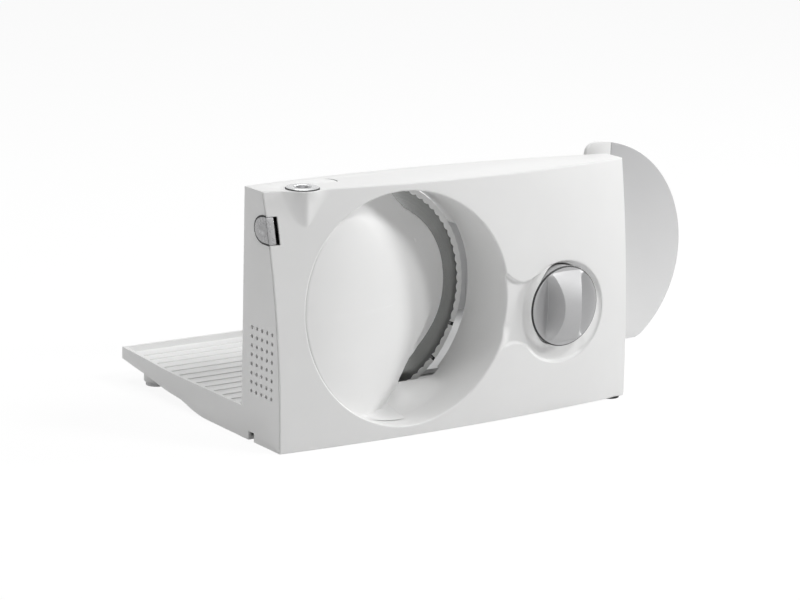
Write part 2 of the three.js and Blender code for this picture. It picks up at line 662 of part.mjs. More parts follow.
const carrier = cut(
  join(
    plateY(carrierRim, plateFront, PLATE_FACE),
    plateY([...innerEdge, ...lipEdge].reverse(), plateFront - 3, plateFront + 1),
    rodY(KNOB_X, KNOB_Z, SPINDLE_R + 4, nutEnd, plateFront + 1),
  ),
  rodY(KNOB_X, KNOB_Z, SPINDLE_R + SEAM, 0, plateFront),
  ...PINS.map(([x, z]) => rodY(x, z, PIN_R + SEAM, 0, plateFront + 1.8)),
);
put('stop_plate', carrier, WHITE);
const wingFoot = Math.asin((PLATE_LOW - WING_Z) / WING_R) * 180 / Math.PI;
const tabBack = plateFront - SEAM;
const tabLow = PLATE_LOW + 29;
const tabHigh = PLATE_HIGH - 22;
const wingHead = Math.acos((WING_SPLIT + SEAM - WING_X) / WING_R) * 180 / Math.PI;
put('stop_wing', join(
  plateY([
    [WING_SPLIT + SEAM, PLATE_LOW], ...arc(WING_X, WING_Z, WING_R, wingFoot, wingHead, 40),
  ], plateFront, PLATE_FACE),
  box(WING_SPLIT - 12, WING_SPLIT + 6, tabBack - 2.5, tabBack, tabLow, tabHigh),
  box(WING_SPLIT + SEAM, WING_SPLIT + 6, tabBack - 2.5, plateFront + 1, tabLow, tabHigh),
), GREY);
PINS.forEach(([x, z], i) => {
  put(`guide_pin_${i + 1}`, rodY(x, z, PIN_R, 18, plateFront + 1.5), STEEL);
  put(`guide_bush_${i + 1}`, tubeY(x, z, PIN_R + SEAM, PIN_R + 2.2, 21, PLATE_BACK), NATURAL);
});
const knobBody = turnedY(KNOB_X, KNOB_Z, [
  [0, KNOB_BACK], [KNOB_R - 6, KNOB_BACK], [KNOB_R - 1, -5], [KNOB_R, KNOB_RIM + 1.5], [KNOB_R - 1.2, KNOB_RIM],
  [KNOB_R - 5, KNOB_RIM + 1], [0, KNOB_RIM + 1],
].reverse());
const gripLong = KNOB_R - 3;
const gripHalf = (t) => GRIP_W / 2 + GRIP_FLARE * t * t;
const gripRim = [
  ...steps(1, -1, 10).map((t) => [KNOB_X - gripHalf(t), KNOB_Z + gripLong * t * 0.93]),
  ...steps(-1, 1, 10).map((t) => [KNOB_X + gripHalf(t), KNOB_Z + gripLong * t * 0.93]),
];
const crown = rodX(KNOB_FRONT + CROWN_R, KNOB_Z, CROWN_R, KNOB_X - KNOB_R, KNOB_X + KNOB_R, 96);
put('thickness_knob', cut(
  join(knobBody, plateY(gripRim, KNOB_FRONT - 1, KNOB_RIM + 3).intersect(crown)),
  rodY(KNOB_X, KNOB_Z, SPINDLE_R + SEAM, -8, 10),
), SILVER);
put('knob_spindle', join(
  rodY(KNOB_X, KNOB_Z, SPINDLE_R, -7.5, 36),
  rodY(KNOB_X, KNOB_Z, SPINDLE_R + 3, BOWL_FLOOR + WALL + SEAM, BOWL_FLOOR + WALL + 2.5),
), STEEL);

// switch and lock
put('button_ring', turnedZ(BUTTON_X, BUTTON_Y, [
  [RING_IN, H + SEAM], [RING_R - 0.6, H + SEAM], [RING_R, H + 1], [RING_R - 1.2, H + 2.2],
  [RING_IN + 0.6, H + 2.4], [RING_IN, H + 1.8], [RING_IN, H + SEAM],
]), SILVER);
put('power_button', turnedZ(BUTTON_X, BUTTON_Y, [
  [0, H - 12], [3, H - 12], [3, H - 5], [BUTTON_R, H - 5], [BUTTON_R, H + 1.6], [BUTTON_R - 1, H + 2],
  [BUTTON_R - 2.5, H + 1.1], [0, H + 0.7],
]), SILVER);
const switchTop = H - 18;
put('switch_body', cut(
  join(
    box(BUTTON_X - 11, BUTTON_X + 11, BUTTON_Y - 5.4, 46, switchTop - 14, switchTop),
    box(BUTTON_X - 3, BUTTON_X + 3, 45, BACK_LEFT - WALL - SEAM, switchTop - 10, switchTop - 4),
  ),
  rodZ(BUTTON_X, BUTTON_Y, PLUNGER_R + SEAM, switchTop - 7, switchTop + 5, 12),
), BLACK);
put('switch_plunger', rodZ(BUTTON_X, BUTTON_Y, PLUNGER_R, switchTop - 2, H - 12 - SEAM, 12), NATURAL);
put('button_spring', coil(
  new THREE.Vector3(BUTTON_X, BUTTON_Y, switchTop + 0.9), new THREE.Vector3(0, 0, 1), 11, 4.8, 0.45, 5,
), STEEL);
const lockMid = (LOCK_Z0 + LOCK_Z1) / 2;
const lockHalf = (LOCK_Z1 - LOCK_Z0) / 2;
const lockRound = 12;
const lockFace = [
  [LOCK_BACK - lockRound, LOCK_Z0],
  ...arc(0, 0, 1, -75, 75, 8).map(([c, s]) => [LOCK_BACK - lockRound + lockRound * c, lockMid + lockHalf * s]),
  [LOCK_BACK - lockRound, LOCK_Z1],
  ...steps(LOCK_Z1, LOCK_Z0, 6).map((z) => [frontY(LOCK_LIP / 2, z) + 0.2, z]),
];
put('lock_button', join(
  plateX(lockFace, -LOCK_OUT, WALL - SEAM - 0.4),
  plateX([
    ...steps(LOCK_Z1, LOCK_Z0, 6).map((z) => [frontY(LOCK_LIP / 2, z) + 0.2, z]),
    ...steps(LOCK_Z0, LOCK_Z1, 6).map((z) => [frontY(LOCK_LIP / 2, z) + 8, z]),
  ], -LOCK_OUT, LOCK_LIP - 0.4),
  rodX(LOCK_BACK - 12, lockMid, 3, 1, 12, 12),
), SILVER);
put('lock_spring', coil(
  new THREE.Vector3(6.2, LOCK_BACK - 12, lockMid), new THREE.Vector3(1, 0, 0), 9, 4.4, 0.45, 4,
), STEEL);
put('lock_latch', join(
  box(16, 20, 24, 46, lockMid - 6, lockMid + 6),
  box(17, 19, 44, BACK_LEFT - WALL - SEAM, lockMid - 5, lockMid + 5),
), BLACK);

// carriage and remnant holder
const carFloor = TABLE_TOP + RIB_H + SEAM;
const tongueY = RIB_FIRST + 4.5 * RIB_PITCH;
const tongueW = RIB_PITCH - RIB_W - 2 * SEAM;
put('carriage', join(
  box(CAR_X0, CAR_X1, CAR_Y0, CAR_Y1, carFloor, carFloor + CAR_T),
  box(CAR_X0, CAR_X1, tongueY - tongueW / 2, tongueY + tongueW / 2, TABLE_TOP + SEAM, carFloor + 1),
  plateX([
    [CAR_Y0, carFloor], [CAR_Y0, FENCE_TOP - 20], [CAR_Y0 + 20, FENCE_TOP],
    [CAR_Y1, FENCE_TOP], [CAR_Y1, carFloor],
  ], CAR_X1 - FENCE_T, CAR_X1),
  box(CAR_X0, CAR_X1, CAR_Y1 - 3, CAR_Y1, carFloor, carFloor + 14),
), WHITE);
const holderY = CAR_Y1 - 18;
const holderZ = carFloor + CAR_T + 2;
put('remnant_holder', join(
  box(CAR_X1 - 92, CAR_X1 - FENCE_T - SEAM, holderY, holderY + 3, holderZ, FENCE_TOP + 4),
  box(CAR_X1 - 26, CAR_X1 + 3, holderY - 16, holderY + 16, FENCE_TOP + SEAM, FENCE_TOP + 4),
  box(CAR_X1 + SEAM, CAR_X1 + 3, holderY - 16, holderY + 16, FENCE_TOP - 8, FENCE_TOP + 4),
  rodY(CAR_X1 - 52, FENCE_TOP - 38, 9, holderY + 1, holderY + 16),
), GREY);

// feet and cord outlet
const feet = [
  ['front_left', 16, 10, EDGE], ['front_right', W - 10, 6, EDGE],
  ['rear_left', LEG_IN, LEG_Y, 3], ['rear_right', W - LEG_IN, LEG_Y, 3],
];
for (const [name, x, y, top] of feet) {
  put(`foot_${name}`, rodZ(x, y, FOOT_R, 0, top - SEAM), BLACK);
}
put('cord_grommet', cut(
  box(WALL + SEAM, WALL + 9, notchY0 - 3, notchY0 + NOTCH_W + 3, EDGE + WALL + SEAM, NOTCH_H + 5),
  rodX(NOTCH_Y, 7, 2.2, 0, 20, 12),
), BLACK);

export default root;
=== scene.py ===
import json
import math

import bmesh
import bpy
import numpy as np
from mathutils import Matrix, Vector


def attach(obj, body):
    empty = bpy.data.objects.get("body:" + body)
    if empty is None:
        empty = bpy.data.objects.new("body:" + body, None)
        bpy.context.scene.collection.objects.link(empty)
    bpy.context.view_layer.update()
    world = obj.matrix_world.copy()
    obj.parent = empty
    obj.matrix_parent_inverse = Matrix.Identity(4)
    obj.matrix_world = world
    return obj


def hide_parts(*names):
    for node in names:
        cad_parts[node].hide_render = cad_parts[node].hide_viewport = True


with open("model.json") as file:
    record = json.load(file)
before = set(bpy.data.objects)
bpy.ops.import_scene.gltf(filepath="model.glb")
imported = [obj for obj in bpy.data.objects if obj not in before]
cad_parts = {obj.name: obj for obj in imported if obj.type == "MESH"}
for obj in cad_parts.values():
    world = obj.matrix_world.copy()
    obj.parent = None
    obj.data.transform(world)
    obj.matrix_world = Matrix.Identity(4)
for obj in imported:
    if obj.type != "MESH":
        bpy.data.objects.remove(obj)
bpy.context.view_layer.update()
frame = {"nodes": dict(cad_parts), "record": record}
scene = bpy.context.scene
nodes = frame["nodes"]

# Sizes of the object in millimetres, from the bottom front left corner of the upright.
SHIFT = np.array([-198.95, -104.5, 0.0])
W, H = 312.0, 184.0
EDGE, WALL, SEAM, COVER_EDGE, COVER_GAP = 1.5, 2.5, 0.4, 1.15, 0.6
AXIS_X, AXIS_Z, BLADE_R = 106.8, 93.8, 85.0
BACK_LEFT, BACK_RIGHT, BACK_BOW, PLATE_BACK, MIDDLE_WALL = 52.5, 34.0, 12.8, 33.5, 48.8
GUIDE_R, GUIDE_EDGE_Y, GUIDE_CURVE = 64.5, 46.0, 1.6
SKIRT_END, SILL_Z = 41.0, 26.4
TABLE_FRONT, TABLE_END, TABLE_TOP, TABLE_LIP = 54.5, 228.0, 22.0, 26.6
KNOB_X, KNOB_Z, KNOB_R, KNOB_FRONT, KNOB_RIM = 242.0, 82.0, 30.6, -21.8, -11.2
BOWL_X, BOWL_Z, BOWL_A, BOWL_B = 244.1, 76.2, 41.7, 38.6
BUTTON_X, BUTTON_Y, RING_R, RING_IN, BUTTON_R, RING_SUNK = 32.0, 27.0, 12.2, 6.4, 6.0, 1.0
LOCK_X, LOCK_Z0, LOCK_Z1, LOCK_BACK, LOCK_BEND = 2.8, 148.0, 166.9, 38.0, 12.0
LOCK_OUT, LOCK_LIP, LOCK_GAP, DISH_R, DISH_DEEP = 0.8, 5.6, 2.0, 8.0, 2.2
WING_X, WING_Z, WING_R, WING_SPLIT, WING_CORNER = 311.2, 103.3, 87.5, 325.2, 301.2
PLATE_FACE, PLATE_T, PLATE_LOW, PLATE_HIGH, PLATE_ARC = 48.0, 3.0, 31.0, 172.0, 88.2
SPINDLE_R, GUIDE_PINS = 5.3, ((262, 150), (284, 46))
GUIDE_POSTS = ((24.2, 40.2), (24.2, -40.8), (-69.8, 2.2))
BLADE_FRONT, BLADE_BACK, BLADE_BORE = 51.5, 53.0, 5.3
BLADE_WAVES, WAVE_STEPS, BLADE_SLOTS = 72, 16, (-22.5, -43.2, 157.5, 136.8)
RIB_STEP, VENT_STEP = 12.4, 6.7


def lerp(a, b, t):
    return a + (b - a) * t


def smooth(t):
    c = np.clip(t, 0.0, 1.0)
    return c * c * (3 - 2 * c)


def front_y(x, z):
    u = (x - W / 2) / (W / 2)
    h = np.maximum(0.0, z) / H
    return lerp(27.8, 14.8, x / W) * h**2.108 - (7.8 + 10.5 * h) * (1 - u * u)


def back_y(x):
    u = (x - W / 2) / (W / 2)
    return lerp(BACK_LEFT, BACK_RIGHT, x / W) + BACK_BOW * (1 - u * u)


# Radius of the slice guide at angles about the blade axis: its free edge on the right, the bore wall on the left.
guide_edge = np.array([
    (-180, 84.95), (-79.4, 84.95), (-77.7, 77.2), (-70.2, 69.6), (-59.7, 63.9), (-45.8, 61.2),
    (-30.4, 61.2), (-16.5, 62.2), (-4.9, 63.2), (8.8, 64.4), (21.4, 65.4), (36.5, 65.8), (51.9, 65.9), (64.8, 66.5),
    (74, 68.2), (80.6, 73.0), (86, 80.2), (92, 84.4), (96, 84.95), (180, 84.95),
])


def guide_rim(turn):
    return np.interp(turn, guide_edge[:, 0], guide_edge[:, 1])


def sill_radius(turn):
    """Inner radius of the sill that rises from the bottom of the bore, at its rear end."""
    rise = BLADE_R - (AXIS_Z - SILL_Z) / np.maximum(-np.sin(np.radians(turn)), 0.2)
    held = 0.5 * (rise + np.sqrt(rise * rise + 4.0))
    return BLADE_R - held * smooth((-38 - turn) / 10) * smooth((turn + 104) / 30)


def guide_y(x, z):
    dx, dz = x - AXIS_X, z - AXIS_Z
    left = AXIS_X - BLADE_R
    edge = left + 52 + np.sqrt(97.5**2 - dz * dz)
    along = np.clip((x - left) / (edge - left), 0.0, 1.0)
    y = lerp(front_y(x, z) + 0.6, GUIDE_EDGE_Y, along**GUIDE_CURVE)
    turn = np.degrees(np.arctan2(dz, dx))
    inside = guide_rim(turn) - np.hypot(dx, dz)
    roll = smooth((16 - inside) / 16) * smooth((5 - turn) / 50) * smooth((turn + 87) / 9)
    y = lerp(y, np.maximum(y, GUIDE_EDGE_Y), roll)
    near = np.clip((BLADE_R - np.hypot(dx, dz)) / 16.0, 0.0, 1.0)
    foot = lerp(8.0, 52.0, near**0.62) - 1.0
    gap = np.where(turn < -70, y - foot, -40.0)
    return y - 0.5 * (gap + np.sqrt(gap * gap + 16.0)) * smooth((-79 - turn) / 8)


# Camera of the photograph.
yaw, pitch, roll = (math.radians(v) for v in (35.08, 13.65, 1.57))
fwd = Vector((math.sin(yaw) * math.cos(pitch), math.cos(yaw) * math.cos(pitch), -math.sin(pitch)))
level = Vector((math.cos(yaw), -math.sin(yaw), 0))
rise = level.cross(fwd)
cam_x = level * math.cos(roll) + rise * math.sin(roll)
cam_y = rise * math.cos(roll) - level * math.sin(roll)
target = (Vector((148.05, 25.38, 91.37)) + Vector(SHIFT)) / 1000
spot = target - fwd * 2.0318 - cam_x * 0.02508 - cam_y * 0.00148
camera_data = bpy.data.cameras.new("camera")
camera = bpy.data.objects.new("camera", camera_data)
scene.collection.objects.link(camera)
facing = Matrix((cam_x, cam_y, -fwd)).transposed()
camera.matrix_world = Matrix.Translation(spot) @ facing.to_4x4()
camera_data.sensor_width = 36
camera_data.sensor_fit = "HORIZONTAL"
camera_data.lens = 124.36
camera_data.clip_end = 20
scene.camera = camera
scene.view_settings.view_transform = "Standard"


# Mesh helpers. Shapes are drawn in millimetres and placed in the frame in metres.
ORDER = {"x": (2, 0, 1), "y": (0, 2, 1), "z": (0, 1, 2)}
stood_for = set()


def shape(verts, faces, name="shape"):
    mesh = bpy.data.meshes.new(name)
    mesh.from_pydata(((np.asarray(verts, float) + SHIFT) / 1000).tolist(), [], [list(f) for f in faces])
    bm = bmesh.new()
    bm.from_mesh(mesh)
    bmesh.ops.remove_doubles(bm, verts=bm.verts, dist=2e-6)
    bmesh.ops.recalc_face_normals(bm, faces=bm.faces)
    bm.to_mesh(mesh)
    bm.free()
    obj = bpy.data.objects.new(name, mesh)
    scene.collection.objects.link(obj)
    return obj


def settle(obj):
    graph = bpy.context.evaluated_depsgraph_get()
    mesh = bpy.data.meshes.new_from_object(obj.evaluated_get(graph))
    old = obj.data
    obj.modifiers.clear()
    obj.data = mesh
    bpy.data.meshes.remove(old)


def boolean(obj, tool, operation):
    m = obj.modifiers.new("shape", "BOOLEAN")
    m.operation = operation
    m.solver = "EXACT"
    m.object = tool
    settle(obj)
    bpy.data.objects.remove(tool)
    return obj


def join(first, *rest):
    for other in rest:
        boolean(first, other, "UNION")
    return first


def cut(first, *rest):
    for other in rest:
        boolean(first, other, "DIFFERENCE")
    return first


def round_edges(obj, width, segments=3, angle=40):
    bm = bmesh.new()
    bm.from_mesh(obj.data)
    bmesh.ops.remove_doubles(bm, verts=bm.verts, dist=2e-6)
    bmesh.ops.dissolve_limit(bm, angle_limit=math.radians(0.5), verts=bm.verts, edges=bm.edges)
    bm.to_mesh(obj.data)
    bm.free()
    m = obj.modifiers.new("edges", "BEVEL")
    m.width = width / 1000
    m.segments = segments
    m.limit_method = "ANGLE"
    m.angle_limit = math.radians(angle)
    m.use_clamp_overlap = True
    settle(obj)
    return obj


def plate(axis, points, a, b):
    p = np.asarray(points, float)
    n = len(p)
    rows = [np.column_stack([p, np.full(n, d)])[:, ORDER[axis]] for d in (a, b)]
    faces = [range(n), range(n, 2 * n)]
    faces += [(i, (i + 1) % n, (i + 1) % n + n, i + n) for i in range(n)]
    return shape(np.concatenate(rows), faces)


def ring_points(a, b, r, n=64, start=0, end=360):
    t = np.radians(np.linspace(start, end, n, endpoint=end - start < 360))
    return np.column_stack([a + r * np.cos(t), b + r * np.sin(t)])


def rod(axis, a, b, r, low, high, n=48):
    return plate(axis, ring_points(a, b, r, n), low, high)


def box(x0, x1, y0, y1, z0, z1):
    return plate("z", [(x0, y0), (x1, y0), (x1, y1), (x0, y1)], z0, z1)


def ring_faces(rows, n):
    """Faces between neighbouring rings of n points."""
    return [
        (j * n + i, j * n + (i + 1) % n, (j + 1) * n + (i + 1) % n, (j + 1) * n + i)
        for j in range(rows - 1) for i in range(n)
    ]


def turned(axis, a, b, profile, n=96):
    t = np.linspace(0, 2 * np.pi, n, endpoint=False)
    rows = []
    for r, d in profile:
        p = np.column_stack([a + r * np.cos(t), b + r * np.sin(t), np.full(n, d)])
        rows.append(p[:, ORDER[axis]])
    return shape(np.concatenate(rows), ring_faces(len(profile), n))


def curve(points, n):
    """Smooth line through points, n steps between each two."""
    p = np.asarray(points, float)
    ext = np.concatenate([2 * p[:1] - p[1:2], p, 2 * p[-1:] - p[-2:-1]])
    out = []
    for i in range(1, len(ext) - 2):
        a, b, c, d = ext[i - 1 : i + 3]
        square, cube = 2 * a - 5 * b + 4 * c - d, 3 * b - a - 3 * c + d
        for t in np.linspace(0, 1, n, endpoint=False):
            out.append(0.5 * (2 * b + (c - a) * t + square * t**2 + cube * t**3))
    out.append(p[-1])
    return np.array(out)


def inside_distance(px, pz, poly):
    """Distance to a closed outline, positive inside it."""
    a = np.asarray(poly, float)
    b = np.roll(a, -1, axis=0)
    best = np.full(px.shape, 1e9)
    inside = np.zeros(px.shape, bool)
    for (ax, az), (bx, bz) in zip(a, b):
        dx, dz = bx - ax, bz - az
        t = np.clip(((px - ax) * dx + (pz - az) * dz) / (dx * dx + dz * dz + 1e-12), 0, 1)
        best = np.minimum(best, np.hypot(px - ax - t * dx, pz - az - t * dz))
        if dz != 0:
            cross = (az > pz) != (bz > pz)
            inside ^= cross & (px < dx * (pz - az) / dz + ax)
    return np.where(inside, best, -best)


def skin(near, far):
    """Closed skin from two grids of points, each row a closed ring."""
    rows, cols = near.shape[:2]
    verts = np.concatenate([near.reshape(-1, 3), far.reshape(-1, 3)])
    off = rows * cols
    faces = []
    for j in range(rows - 1):
        for i in range(cols):
            k = (i + 1) % cols
            a, b, c, d = j * cols + i, j * cols + k, (j + 1) * cols + k, (j + 1) * cols + i
            faces.append((a, b, c, d))
            faces.append((d + off, c + off, b + off, a + off))
    for j, flip in ((0, False), (rows - 1, True)):
        for i in range(cols):
            k = (i + 1) % cols
            q = (j * cols + i, j * cols + i + off, j * cols + k + off, j * cols + k)
            faces.append(q[::-1] if flip else q)
    return verts, faces


def soften(obj, angle=32):
    mesh = obj.data
    mesh.polygons.foreach_set("use_smooth", np.ones(len(mesh.polygons), bool))
    mesh.set_sharp_from_angle(angle=math.radians(angle))


def piece(obj, name, body, slot, material, *stands_for, angle=32):
    obj.name = name
    obj.data.name = name
    soften(obj, angle)
    if not isinstance(material, (list, tuple)):
        material = [material]
    obj.data.materials.clear()
    for m in material:
        obj.data.materials.append(m)
    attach(obj, body)
    if stands_for:
        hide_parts(*stands_for)
        stood_for.update(stands_for)
    return obj


def middles(obj):
    """Faces of a piece, with their centres in millimetres."""
    for f in obj.data.polygons:
        yield f, np.array(f.center) * 1000 - SHIFT


# Materials. Every one is procedural, in object space, in metres.
def new_material(name):
    m = bpy.data.materials.new(name)
    m.use_nodes = True
    tree = m.node_tree
    coords = tree.nodes.new("ShaderNodeTexCoord").outputs["Object"]
    return m, tree, tree.nodes["Principled BSDF"], coords


def noise(tree, vector, scale, detail=3.0):
    n = tree.nodes.new("ShaderNodeTexNoise")
    n.inputs["Scale"].default_value = scale
    n.inputs["Detail"].default_value = detail
    tree.links.new(vector, n.inputs["Vector"])
    return n.outputs[0]


def spread(tree, value, low, high, start=0.3, end=0.7):
    n = tree.nodes.new("ShaderNodeMapRange")
    n.inputs["From Min"].default_value = start
    n.inputs["From Max"].default_value = end
    n.inputs["To Min"].default_value = low
    n.inputs["To Max"].default_value = high
    tree.links.new(value, n.inputs["Value"])
    return n.outputs["Result"]


def shades(tree, value, *stops):
    n = tree.nodes.new("ShaderNodeValToRGB")
    ramp = n.color_ramp.elements
    while len(ramp) < len(stops):
        ramp.new(0.5)
    for e, (at, colour) in zip(ramp, stops):
        e.position = at
        e.color = (*colour, 1)
    tree.links.new(value, n.inputs["Fac"])
    return n.outputs["Color"]


def bump(tree, bsdf, height, strength, distance):
    n = tree.nodes.new("ShaderNodeBump")
    n.inputs["Strength"].default_value = strength
    n.inputs["Distance"].default_value = distance
    tree.links.new(height, n.inputs["Height"])
    tree.links.new(n.outputs["Normal"], bsdf.inputs["Normal"])


def varied(tree, value, colour, vary):
    """Colour that goes a share below and above the one given."""
    low = tuple(c * (1 - vary) for c in colour)
    high = tuple(min(1.0, c * (1 + vary)) for c in colour)
    return shades(tree, value, (0.3, low), (0.7, high))


def moulded(name, colour, vary, rough, grain=1100.0, depth=0.00004, strength=0.22):
    m, tree, bsdf, coords = new_material(name)
    tree.links.new(varied(tree, noise(tree, coords, 22), colour, vary), bsdf.inputs["Base Color"])
    fine = noise(tree, coords, grain, 4)
    tree.links.new(spread(tree, noise(tree, coords, 160), rough - 0.04, rough + 0.05), bsdf.inputs["Roughness"])
    bump(tree, bsdf, fine, strength, depth)
    bsdf.inputs["IOR"].default_value = 1.47
    return m


def metal(name, colour, vary, rough, scale, metallic=1.0):
    m, tree, bsdf, coords = new_material(name)
    grain = noise(tree, coords, scale, 4)
    coarse = noise(tree, coords, scale / 6)
    tree.links.new(varied(tree, grain, colour, vary), bsdf.inputs["Base Color"])
    tree.links.new(spread(tree, coarse, rough - 0.05, rough + 0.07), bsdf.inputs["Roughness"])
    bsdf.inputs["Metallic"].default_value = metallic
    bump(tree, bsdf, grain, 0.12, 0.00003)
    return m


def radial_parts(tree, coords, x, z):
    """Radius about a line along Y, and the place in the plane across it."""
    move = tree.nodes.new("ShaderNodeVectorMath")
    move.operation = "SUBTRACT"
    move.inputs[1].default_value = ((x + SHIFT[0]) / 1000, 0, z / 1000)
    tree.links.new(coords, move.inputs[0])
    flat = tree.nodes.new("ShaderNodeVectorMath")
    flat.operation = "MULTIPLY"
    flat.inputs[1].default_value = (1, 0, 1)
    tree.links.new(move.outputs[0], flat.inputs[0])
    length = tree.nodes.new("ShaderNodeVectorMath")
    length.operation = "LENGTH"
    tree.links.new(flat.outputs[0], length.inputs[0])
    return length.outputs["Value"], flat.outputs[0]


def ground_steel(name, dark, light, rough, rings, metallic=1.0):
    """Steel ground in rings about the blade axis."""
    m, tree, bsdf, coords = new_material(name)
    radius, flat = radial_parts(tree, coords, AXIS_X, AXIS_Z)
    lane = tree.nodes.new("ShaderNodeCombineXYZ")
    tree.links.new(radius, lane.inputs["X"])
    grind = noise(tree, lane.outputs[0], rings, 5)
    blot = noise(tree, flat, 60, 3)
    mixed = tree.nodes.new("ShaderNodeMath")
    mixed.operation = "MULTIPLY_ADD"
    mixed.inputs[1].default_value = 0.35
    tree.links.new(blot, mixed.inputs[0])
    tree.links.new(grind, mixed.inputs[2])
    tree.links.new(shades(tree, mixed.outputs[0], (0.45, dark), (0.9, light)), bsdf.inputs["Base Color"])
    tree.links.new(spread(tree, grind, rough - 0.06, rough + 0.08), bsdf.inputs["Roughness"])
    bsdf.inputs["Metallic"].default_value = metallic
    bump(tree, bsdf, grind, 0.2, 0.00002)
    return m


def shade_graded(name, low, high, bottom, top):
    """Satin plastic with painted shade: its colour darkens slowly with height, standing in for a dark reflection on
    the upper part.
    """
    m, tree, bsdf, coords = new_material(name)
    part = tree.nodes.new("ShaderNodeSeparateXYZ")
    tree.links.new(coords, part.inputs[0])
    tone = spread(tree, part.outputs["Z"], 0.0, 1.0, bottom, top)
    tree.links.new(shades(tree, tone, (0.0, low), (1.0, high)), bsdf.inputs["Base Color"])
    tree.links.new(spread(tree, noise(tree, coords, 160), 0.34, 0.42), bsdf.inputs["Roughness"])
    bump(tree, bsdf, noise(tree, coords, 1100, 4), 0.2, 0.00004)
    return m


# The wing's grey darkens towards the top as painted shade, for a dark reflection on it.
wing_painted_shade = shade_graded("wing_painted_shade", (0.80, 0.80, 0.80), (0.50, 0.50, 0.505), 0.035, 0.185)
white = moulded("white_plastic", (0.86, 0.86, 0.855), 0.012, 0.36)
grey = moulded("grey_plastic", (0.60, 0.61, 0.62), 0.02, 0.38)
# Grey painted as shade on the rear feet and on the carriage and remnant holder seen through the slice gap.
shade_grey = moulded("shade_grey_plastic", (0.72, 0.722, 0.725), 0.03, 0.42)
silver = metal("silver_trim", (0.62, 0.625, 0.63), 0.03, 0.26, 2600, 0.8)
knob_paint = metal("knob_paint", (0.49, 0.49, 0.495), 0.025, 0.44, 1800, 0.25)
key_paint = metal("key_paint", (0.42, 0.42, 0.425), 0.03, 0.27, 1800, 0.35)
cap_paint = metal("cap_paint", (0.17, 0.17, 0.175), 0.04, 0.34, 1500, 0.4)
# Near black: the top strip's own colour, and painted shade at the knob's edge and under the button ring.
dark_trim_and_painted_shade = metal("dark_trim_and_painted_shade", (0.035, 0.035, 0.036), 0.1, 0.55, 900, 0.1)
steel = metal("bare_steel", (0.52, 0.53, 0.54), 0.08, 0.32, 900)
can = metal("motor_can", (0.40, 0.41, 0.42), 0.08, 0.45, 500, 0.8)
natural = moulded("natural_plastic", (0.76, 0.72, 0.60), 0.03, 0.45)
black = moulded("black_plastic", (0.012, 0.012, 0.013), 0.15, 0.5)
rubber = moulded("rubber_foot", (0.02, 0.02, 0.02), 0.2, 0.8, 700, 0.0001, 0.4)
blade_face = ground_steel("blade_steel", (0.27, 0.275, 0.27), (0.42, 0.425, 0.42), 0.22, 2600)
# The bevel's steel is painted near white and mostly diffuse: a painted reflection of the bright surround on the
# ground edge.
blade_edge_painted_sheen = ground_steel("blade_edge_painted_sheen", (0.86, 0.86, 0.855), (0.95, 0.95, 0.945), 0.42, 4200, 0.25)


# Front cover: a fan of points from the bore to the edge of the panel, with the bowl, the neck and the pod.
RIM, CORNER, SKIN, BORE_WALL, POD_END = 1.1, 0.6, 1.2, 1.8, 70
neck_top = curve([(186, 122), (189, 116), (192, 111), (197, 107), (204, 104), (212, 104.6), (219.4, 107.4)], 8)
neck_low = curve([(217.5, 46.6), (211, 53.6), (205, 56.6), (198, 58), (192, 57), (187, 54), (183, 50)], 8)
bowl_turn = np.radians(np.linspace(126, -131, 120))
bowl_rim = np.column_stack([BOWL_X + BOWL_A * np.cos(bowl_turn), BOWL_Z + BOWL_B * np.sin(bowl_turn)])
peanut = np.concatenate([neck_top, bowl_rim, neck_low, [(150, 50), (150, 122)]])


def pod_height(x, z):
    """Boss under the button ring: round at the top, running down the face into a soft ridge."""
    down = np.clip((H - z) / 25.0, 0.0, 1.0)
    r = 13.3 * np.sqrt(np.clip(1 - (down / 0.62) ** 2, 0.0, 1.0)) + 0.01
    side = np.clip(1 - ((x - BUTTON_X) / r) ** 2, 0.0, 1.0)
    bulb = np.where(side > 0, front_y(x, z) - (BUTTON_Y + 0.4 - r * np.sqrt(side)), -7.5)
    off = x - 28.0
    bend = np.sqrt(off * off + 5.0) - 2.236
    wide = np.where(off < 0, 14.5 * (1 - down) ** 0.45, 19.7 * (1 - down)) + 0.01
    ridge = 5.6 * (1 - down) ** 0.9 * np.clip(1 - bend / wide, 0.0, 1.0) ** 1.6
    return np.maximum(0.5 * (bulb + ridge + np.sqrt((bulb - ridge) ** 2 + 2.0)) - 0.08, 0.0)


def face_y(x, z):
    y = front_y(x, z)
    right = smooth((x - 262) / 14)
    rise = smooth((np.hypot(x - AXIS_X, z - AXIS_Z) - BLADE_R - 1.5) / 7)
    pit = 2.2 * lerp(1.0, 0.5, right) * lerp(1.0, rise, smooth((72 - z) / 10))
    y = y + pit * smooth((inside_distance(x, z, peanut) + 0.2) / lerp(1.9, 1.1, right))
    reach = np.hypot((x - BOWL_X) / BOWL_A, (z - BOWL_Z) / BOWL_B)
    deep = lerp(0.42, 1.0, smooth(((z - BOWL_Z) / BOWL_B + 0.1) / 0.9))
    left = smooth((230 - x) / 16) * smooth((110 - z) / 12) * smooth((z - 46) / 10)
    sunk = np.interp(reach, [0, 0.76, 0.88, 0.94, 0.965, 1.0], [4.4, 4.4, 4.1, 3.5, 2.7, 0.0]) * deep
    y = np.where(reach < 1.0, np.maximum(y, front_y(x, z) + lerp(sunk, np.minimum(sunk, 2.2), left)), y)
    turn = np.degrees(np.arctan2(z - KNOB_Z, x - KNOB_X)) % 360
    beside = smooth((36 - np.hypot(x - KNOB_X, z - KNOB_Z)) / 4.6)
    lift = smooth((1.0 - reach) / 0.1) * beside * smooth((turn - 92) / 34) * smooth((248 - turn) / 34)
    y = lerp(y, np.minimum(y, KNOB_RIM + 0.9), lift)
    return y - np.where(x < POD_END, pod_height(x, z), 0.0)


